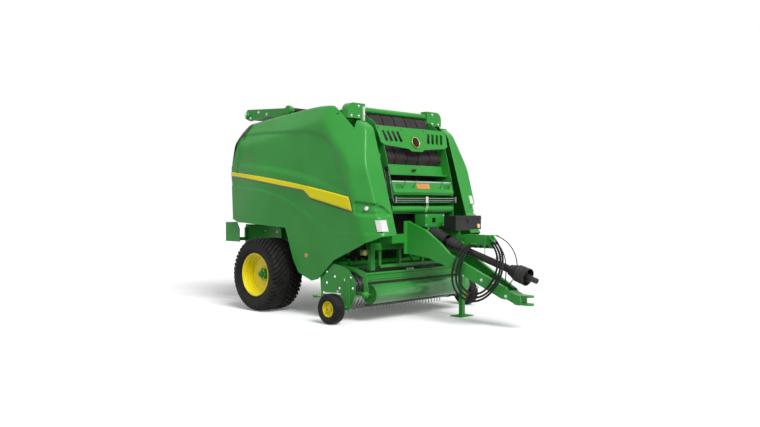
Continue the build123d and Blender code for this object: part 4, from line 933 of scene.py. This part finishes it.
def bent(corners, radius_share=0.35, steps=5):
    """Corner points with each corner rounded by a parabola between its neighbours."""
    corners = np.asarray(corners, float)
    share = np.linspace(0, 1, steps)[:, None]
    runs = [corners[:1]]
    for before, corner, after in zip(corners, corners[1:], corners[2:]):
        start = corner + (before - corner) * radius_share
        end = corner + (after - corner) * radius_share
        runs.append((1 - share) ** 2 * start + 2 * share * (1 - share) * corner + share ** 2 * end)
    return np.vstack(runs + [corners[-1:]])


for name, ends, depth, finish, slot in (("lid_strip", strip_ends, strip_depth, zinc, "galvanised"),
                                        ("lid_plate", amber_ends, amber_depth, plate_amber, "lamp_amber")):
    spots = [lid_point(x, up, lid_lift) for x, up in ends]
    place(slab(name, spots, depth * lid_out, sheet_edge), "net_cover", finish)
catches = [carried("catch", bent([lid_point(side + x, up, out) for x, up, out in catch_path]), catch_wire)
           for side in catch_sides]
place(joined("lid_catches", catches), "net_cover", black_paint)
button_y = (-0.5035, -0.5035, -0.5040, -0.5040)
button_thick, button_edge = 0.012, 0.003
button = front_rows(oblong((-0.03, 1.925), (0.04, 1.955)), button_y)
place(slab("pan_button", button, (0, -button_thick, 0), button_edge), "chassis", black_moulding)


# Clip of the net rods: a moulded clip between the two rods, and two bent wires of plated steel
# that hang from it.
clip_y = -0.748
clip_thick, clip_edge = 0.010, 0.003
wire_sides = (-0.012, 0.012)
wire_path = ((0, -0.742, 1.545), (0, -0.752, 1.47), (-0.03, -0.752, 1.40), (-0.03, -0.742, 1.37),
             (-0.03, -0.7, 1.366))
wire_radius = 0.003
clip = front_rows(oblong((-0.022, 1.505), (0.022, 1.583)), clip_y)
place(slab("rod_clip", clip, (0, clip_thick, 0), clip_edge), "chassis", plate_white)
drop_wires = [carried("wire", bent(np.add(wire_path, (side, 0, 0))), wire_radius) for side in wire_sides]
place(joined("drop_wires", drop_wires), "chassis", zinc)


# Pickup ends: green end plates with plated bolts and a slotted strip of plated steel. Behind
# each stands the handle of its lift pin, a bent rod with a turned grip.
end_face, end_bolt = 1.050, 0.019
end_bolts = ((0.063, 0.466), (-0.092, 0.554), (0.122, 0.335), (-0.281, 0.524), (-0.428, 0.426),
             (-0.392, 0.560), (0.152, 0.640), (0.060, 0.610), (-0.181, 0.410), (-0.330, 0.225),
             (-0.050, 0.180))   # Y and Z
end_strip = ((0.130, 0.318), (0.130, 0.338), (-0.205, 0.350), (-0.205, 0.330))
strip_sink, strip_thick = 0.001, 0.006
handle_height, handle_out, handle_rod = 0.272, 0.012, 0.011
handle_sink = 0.004
handle_bends = (0.120, 0.150, 0.300)   # Y of its root, its bend and its end
grip_start = 0.265
grip_profile = [(0, 0), (0, 0.018), (0.050, 0.020), (0.056, 0.014), (0.058, 0)]
for name, sign in sides:
    fasten("pickup_bolts_" + name, "pickup", zinc, side_rows(end_bolts, sign * end_face), (sign, 0, 0),
           end_bolt)
    strip = slab("pickup_strip_" + name, side_rows(end_strip, sign * (end_face - strip_sink)),
                 (sign * strip_thick, 0, 0))
    place(strip, "pickup", zinc)
    handle_side = sign * (end_face + handle_out)
    handle_across = (sign * (end_face - handle_sink), handle_side, handle_side)
    corners = [(x, y, handle_height) for x, y in zip(handle_across, handle_bends)]
    handle = carried("handle", bent(corners), handle_rod, 14)
    grip = turned("grip", grip_profile, (handle_side, grip_start, handle_height), (0, 1, 0), 20)
    place(joined("pickup_handle_" + name, [handle, grip]), "pickup", green)


# Windguard: a long smooth roller of green enamelled tube, which presses the crop down, between
# two arms that turn on hubs. A black lip is screwed along its frame, and a black bar runs
# along the frame below the roller.
roller_enamel = grown("roller_enamel", (0.020, 0.185, 0.026), (0.055, 0.290, 0.066), (0.16, 0.30), patch=2.2,
                      grain=180, relief=(0.10, 0.0008), dust=0.03, specular_ior_level=0.5,
                      coat_weight=0.25, coat_roughness=0.12)
guard_axle = (-0.601, 0.355)
guard_side = 0.989
guard_hub = [(-0.010, 0), (-0.010, 0.046), (0.014, 0.046), (0.018, 0.030), (0.050, 0.028), (0.054, 0.018),
             (0.054, 0)]
guard_link = ((-0.585, 0.330), (-0.330, 0.350), (-0.330, 0.392), (-0.585, 0.384))   # Y and Z
link_thick = 0.010
coat(roller_enamel.material, "windguard_roller")
for name, sign in sides:
    hub = turned("hub", guard_hub, (sign * guard_side, *guard_axle), (sign, 0, 0), 28)
    link = slab("link", side_rows(guard_link, sign * guard_side), (sign * link_thick, 0, 0))
    place(joined("guard_hub_" + name, [hub, link]), "pickup", green)
for name, y, ends, thick, edge in (
        ("guard_lip", -0.5535, oblong((-0.972, 0.475), (0.972, 0.506)), 0.003, 0.0008),
        ("guard_dark_bar", -0.568, oblong((-0.978, 0.212), (0.978, 0.240)), 0.008, 0.001)):
    place(slab(name, front_rows(ends, y), (0, thick, 0), edge), "pickup", black_moulding)


# Front lamps: a ring of amber plastic is pressed round each lens and holds it in the front
# frame.
lamp_rim = [(-0.016, 0.0315), (-0.016, 0.0350), (0.001, 0.0350), (0.002, 0.0330), (0.001, 0.0315),
            (-0.016, 0.0315)]
lamp_place = (0.905, -0.4951, 0.868)
for name, sign in sides:
    place(turned("lamp_rim_" + name, lamp_rim, np.multiply(lamp_place, (sign, 1, 1)), (0, -1, 0), 36),
          "chassis", amber_lens)


# Tension arms: flat green arms that carry the outer belts' roller. Each has a cast boss at the
# tip, a drum at the hub, a plated nut on the boss and three bolts along it.
arm_side = 0.612
arm_tip, arm_hub = (2.389, 2.850), (1.374, 2.845)   # Y and Z
arm_spots = ((2.315, 2.800), (2.110, 2.873), (1.912, 2.830))
tip_boss = [(-0.004, 0), (-0.004, 0.050), (0.016, 0.050), (0.020, 0.034), (0.034, 0.032), (0.038, 0.022),
            (0.038, 0)]
hub_drum = [(-0.004, 0), (-0.004, 0.070), (0.030, 0.070), (0.036, 0.062), (0.036, 0)]
tip_out = tip_boss[-1][0]
arm_nut, arm_bolt = 0.030, 0.022
for name, sign in sides:
    outward = (sign, 0, 0)
    boss = turned("boss", tip_boss, (sign * arm_side, *arm_tip), outward, 32)
    drum = turned("drum", hub_drum, (sign * arm_side, *arm_hub), outward, 40)
    place(joined("arm_bosses_" + name, [boss, drum]), "tailgate", green)
    nut = (sign * arm_side + sign * tip_out, *arm_tip)
    fasten("arm_nuts_" + name, "tailgate", zinc, [nut], outward, arm_nut)
    fasten("arm_bolts_" + name, "tailgate", zinc, side_rows(arm_spots, sign * arm_side), outward, arm_bolt)


# Drawbar and gear case: two plates of thick green steel, drawn together towards the clevis and
# held by plated bolts. Four more hold the cover of the cast gear case.
bar_slope = np.array((-0.9880, -0.1543))
bar_spots = np.array([(0.151, -1.752, 0.562), (0.158, -1.705, 0.474), (0.124, -1.921, 0.529),
                      (0.100, -2.076, 0.385), (0.190, -1.499, 0.597)])
case_face = -0.8611
case_spots = [(x, case_face, z) for x in (-0.150, 0.195) for z in (1.212, 1.333)]
bar_bolt, case_bolt = 0.020, 0.016
for name, sign in sides:
    fasten("drawbar_bolts_" + name, "chassis", zinc, bar_spots * (sign, 1, 1),
           (-sign * bar_slope[0], bar_slope[1], 0), bar_bolt)
fasten("case_bolts", "chassis", zinc, case_spots, (0, -1, 0), case_bolt)


# Roller bearings: round flanged housings, cast and enamelled green, at the ends of the rollers
# on the chamber's and the tailgate's walls. Four plated bolts hold each.
housing = [(-0.004, 0), (-0.004, 0.060), (0.008, 0.060), (0.011, 0.042), (0.026, 0.038), (0.028, 0.020),
           (0.028, 0)]
flange = 0.008
flange_circle, flange_bolt, first_bolt = 0.051, 0.012, 0.785
wall_face, gate_face = 0.613, 0.630
wall_bearings = ((-0.560, 0.730), (-0.330, 0.690), (-0.890, 0.560), (-1.150, 0.850),
                 (-1.725, 2.100))   # Y from the axle, and Z
gate_bearings = ((-0.060, 0.745), (0.330, 0.905), (0.620, 1.500), (0.560, 2.330), (-0.120, 2.560))
for body, face, bearings in (("chassis", wall_face, wall_bearings), ("tailgate", gate_face, gate_bearings)):
    spots = np.add(bearings, (axle_y, 0))
    for name, sign in sides:
        casts = turned(body + "_bearings_" + name, housing, side_rows(spots, sign * face), (sign, 0, 0), 36)
        place(casts, body, green)
        bolts = [ring_of(spot, flange_circle, 4, first_bolt)
                 for spot in side_rows(spots, sign * (face + flange))]
        fasten(body + "_bearing_bolts_" + name, body, zinc, np.vstack(bolts), (sign, 0, 0), flange_bolt)


# Rear panel: green sheet with two ribs pressed outwards across it. Beside the red glass of each
# rear lamp lies a small amber one, and two screws hold the lamp on its bracket.
panel_rear = np.array([(1.5060, 2.0550), (1.7060, 2.0710), (2.0660, 2.0510), (2.1490, 1.9770)])   # Z and Y
rib_side, rib_sink, rib_thick, rib_edge = 0.56, 0.003, 0.013, 0.005
amber_face, screw_face = 2.3580, 2.3589
amber_corners = oblong((0.988, 1.098), (1.022, 1.182))   # X and Z
amber_thick, amber_edge = 0.0025, 0.001
screw_spots = ((0.881, 1.140), (0.978, 1.140))
screw_size = 0.007
for name, low, high in (("rib_low", 1.84, 1.90), ("rib_high", 1.96, 2.02)):
    depths = np.interp((low, low, high, high), *panel_rear.T) - rib_sink
    corners = front_rows(oblong((-rib_side, low), (rib_side, high)), depths)
    place(slab(name, corners, (0, rib_thick, 0), rib_edge), "tailgate", green)
for name, sign in sides:
    corners = front_rows(amber_corners * (sign, 1), amber_face)
    lens_part = slab("rear_amber_" + name, corners, (0, amber_thick, 0), amber_edge)
    place(lens_part, "chassis", amber_lens)
    screws = front_rows(np.multiply(screw_spots, (sign, 1)), screw_face)
    fasten("rear_screws_" + name, "chassis", zinc, screws, (0, 1, 0), screw_size)


# Splash plates inside the main wheels: green sheet with a folded edge, bolted to a post at the
# rear and to a brace behind the axle, so that the tyres throw no dirt on the belts.
splash_side, splash_sheet = 0.746, 0.006
splash_face = splash_side + splash_sheet
splash_outline = ((2.270, 0.900), (2.278, 1.100), (2.250, 1.180), (1.480, 1.180), (1.400, 1.120),
                  (1.385, 0.990), (1.430, 0.945), (1.900, 0.935), (2.120, 0.900))   # Y and Z
splash_bolts = ((1.760, 1.090), (1.480, 1.080))
splash_bolt = 0.018
fold_height, fold_side, fold_ends = 1.174, 0.786, (1.500, 2.225)
post_corners, post_thick = oblong((2.215, 0.940), (2.262, 1.130)), 0.020
brace_corners, brace_thick, brace_side = oblong((1.430, 0.672), (1.470, 1.100)), 0.039, 0.708
for name, sign in sides:
    sheet = slab("sheet", side_rows(splash_outline, sign * splash_side), (sign * splash_sheet, 0, 0))
    fold = slab("fold", [(sign * x, y, fold_height) for x, y in (
        (splash_side, fold_ends[0]), (splash_side, fold_ends[1]), (fold_side, fold_ends[1]),
        (fold_side, fold_ends[0]))], (0, 0, splash_sheet))
    post = slab("post", side_rows(post_corners, sign * splash_face), (sign * post_thick, 0, 0))
    brace = slab("brace", side_rows(brace_corners, sign * brace_side), (sign * brace_thick, 0, 0))
    place(joined("splash_plate_" + name, [sheet, fold, post, brace]), "chassis", green)
    fasten("splash_bolts_" + name, "chassis", zinc, side_rows(splash_bolts, sign * splash_face), (sign, 0, 0),
           splash_bolt)


# Net wrap chain: a roller chain on two sprockets at the near side, with the bright heads of its
# pins along both runs.
upper, lower = np.array((-0.6061, 1.935)), np.array((-0.6861, 1.520))   # Y and Z of the sprockets
chain_side = -0.6331
half_width, taper = 0.033, 0.008
pin_count, pin_head = 24, 0.0065
run_way = (lower - upper) / np.linalg.norm(lower - upper)
run_out = np.array((run_way[1], -run_way[0]))
shares = np.linspace(0.02, 0.98, pin_count)[:, None]
runs = [upper + side * half_width * run_out + shares * (lower - upper + side * taper * run_out)
        for side in (-1, 1)]
fasten("chain_pins", "chassis", zinc, side_rows(np.vstack(runs), chain_side), (-1, 0, 0), pin_head)


# Tool box trim: a lip is moulded along the front of the black lid, and a rubber latch stretched
# over it holds the lid shut.
for name, body, y, ends, thick, edge in (
        ("lid_lip", "toolbox_cover", -1.1711, oblong((0.067, 1.291), (0.608, 1.306)), 0.005, 0.002),
        ("box_latch", "chassis", -1.1705, oblong((0.318, 1.238), (0.362, 1.288)), 0.010, 0.003)):
    place(slab(name, front_rows(ends, y), (0, -thick, 0), edge), body, black_moulding)


# Dust caps of the hose couplers, moulded of black plastic and pushed on, in a row on the side
# of the holder.
cap_profile = [(-0.006, 0), (-0.006, 0.017), (0.010, 0.017), (0.014, 0.021), (0.020, 0.021), (0.022, 0.016),
               (0.022, 0)]
cap_spots = [(0.080, y, 0.955) for y in (-1.500, -1.580, -1.660)]
place(turned("coupler_caps", cap_profile, cap_spots, (-1, 0, 0), 24), "chassis", black_moulding)


# Ties: narrow bands of black rubber, buckled round the three hoses at four places along their
# loop to hold them together.
tie_places = (3, 6, 9, 11)   # which stretch of the hoses' points
tie_reach = hose_size / 2 + 0.003
tie_band = 0.0045


def hose_spot(name, index):
    """Where a hose's line passes halfway between two of its points, and which way it runs."""
    points = hose_routes[name][1]
    near, far = np.array(points[index], float), np.array(points[index + 1], float)
    return (near + far) / 2, (far - near) / np.linalg.norm(far - near)


turn = np.linspace(-math.pi / 2, math.pi / 2, 9)[:, None]
bands = []
for index in tie_places:
    outer, way = hose_spot("hose_outer", index)
    inner = hose_spot("hose_inner", index)[0]
    across = inner - outer
    across -= way * (across @ way)
    across /= np.linalg.norm(across)
    square = np.cross(way, across)
    far_end = outer + across * ((inner - outer) @ across)
    path = np.vstack([outer + tie_reach * (-np.cos(turn) * across + np.sin(turn) * square),
                      far_end + tie_reach * (np.cos(turn) * across - np.sin(turn) * square)])
    bands.append(carried("band", np.vstack([path, path[:2]]), tie_band, 8))
place(joined("hose_ties", bands), "chassis", black_moulding)


# Driveline: the steel shaft runs in a guard of black plastic tube, with a ribbed bell moulded
# over each joint, and ends in a black painted yoke.
shaft_start = np.array((0, case_face, 1.066))
shaft_slope = math.radians(16.9)
shaft_way = np.array((0, -math.cos(shaft_slope), -math.sin(shaft_slope)))
tube_out, tube_in = 0.046, 0.0273
bell_rows = [   # along the shaft from the gear case, and radius
    (-0.020, tube_out), (0.290, tube_out), (0.300, 0.097), (0.316, 0.095), (0.322, 0.086), (0.345, 0.083),
    (0.350, 0.088), (0.368, 0.084), (0.373, 0.076), (0.402, 0.072), (0.408, 0.077), (0.424, 0.073),
    (0.430, 0.062), (0.480, 0.058), (0.486, tube_out), (1.265, tube_out), (1.272, 0.067), (1.292, 0.067),
    (1.298, 0.073), (1.312, 0.076), (1.318, 0.071), (1.334, 0.079), (1.340, 0.088), (1.356, 0.090),
    (1.362, 0.083), (1.378, 0.092), (1.386, 0.104), (1.402, 0.105), (1.410, 0.098), (1.432, 0.099),
    (1.438, 0.107), (1.452, 0.107), (1.458, 0.101), (1.480, 0.101), (1.486, 0.1075), (1.530, 0.1075),
    (1.530, 0.100), (1.416, 0.094), (1.411, tube_in), (-0.020, tube_in), (-0.020, tube_out)]
guard = place(turned("shaft_guard", bell_rows, shaft_start, shaft_way, 64), "chassis", black_moulding)
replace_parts(guard, "driveline_guard")
crisp(guard, 38)
coat(black_paint.material, "pto_yoke")


# Floor, world and lamps: a plain pale studio. A wide soft sun from the front and a weaker one
# from the near side light the machine, and the floor throws some light back from below.
floor_size = 80.0
floor_height = -0.0005
floor_glow = 0.10
floor_bounce = 0.28
studio_light = 0.38
key_lamp = (2.9, 30, (-0.26, -1.00, 0.98))   # strength, softness in degrees, where it stands
side_lamp = (0.30, 60, (-1.0, -0.35, 0.6))

corners = np.array([(-1, -1), (1, -1), (1, 1), (-1, 1)]) * floor_size / 2
floor = surface("floor", np.column_stack([corners, np.full(4, floor_height)]), [(0, 1, 2, 3)], smooth=False)
floor_white = Finish("floor_white")
speckle = floor_white.noise(0.6)
seen = floor_white.node("ShaderNodeLightPath").outputs
shown = floor_white.sum(floor_white.sum(seen["Is Camera Ray"], seen["Is Glossy Ray"], "MAXIMUM"),
                        seen["Is Transmission Ray"], "MAXIMUM")
pale = floor_white.blend(speckle, (0.97, 0.97, 0.97), (0.99, 0.99, 0.99))
floor_white.set(base_color=floor_white.blend(shown, (floor_bounce,) * 3, pale), roughness=0.9,
                specular_ior_level=0.0)
floor_white.set(emission_color=(1.0, 1.0, 1.0),
                emission_strength=floor_white.sum(shown, floor_glow, "MULTIPLY"))
floor.data.materials.append(floor_white.material)

world = bpy.data.worlds.new("studio")
bpy.context.scene.world = world
world.use_nodes = True
tree = world.node_tree
soft = tree.nodes["Background"]
soft.inputs["Color"].default_value = (1, 1, 1, 1)
soft.inputs["Strength"].default_value = studio_light
white = tree.nodes.new("ShaderNodeBackground")
white.inputs["Color"].default_value = (1, 1, 1, 1)
white.inputs["Strength"].default_value = 1.0
rays = tree.nodes.new("ShaderNodeLightPath").outputs
direct = rays["Is Camera Ray"]
for kind in ("Is Glossy Ray", "Is Transmission Ray"):
    larger = tree.nodes.new("ShaderNodeMath")
    larger.operation = "MAXIMUM"
    tree.links.new(direct, larger.inputs[0])
    tree.links.new(rays[kind], larger.inputs[1])
    direct = larger.outputs[0]
choice = tree.nodes.new("ShaderNodeMixShader")
tree.links.new(direct, choice.inputs[0])
tree.links.new(soft.outputs[0], choice.inputs[1])
tree.links.new(white.outputs[0], choice.inputs[2])
tree.links.new(choice.outputs[0], tree.nodes["World Output"].inputs["Surface"])

for name, (strength, softness, stand) in (("key_lamp", key_lamp), ("side_lamp", side_lamp)):
    lamp = bpy.data.lights.new(name, "SUN")
    lamp.energy = strength
    lamp.angle = math.radians(softness)
    holder = bpy.data.objects.new(name, lamp)
    x, y, z = stand
    holder.rotation_euler = Euler((math.atan2(math.hypot(x, y), z), 0, math.atan2(x, -y)), "XYZ")
    bpy.context.scene.collection.objects.link(holder)

bpy.context.scene.view_settings.view_transform = "Standard"
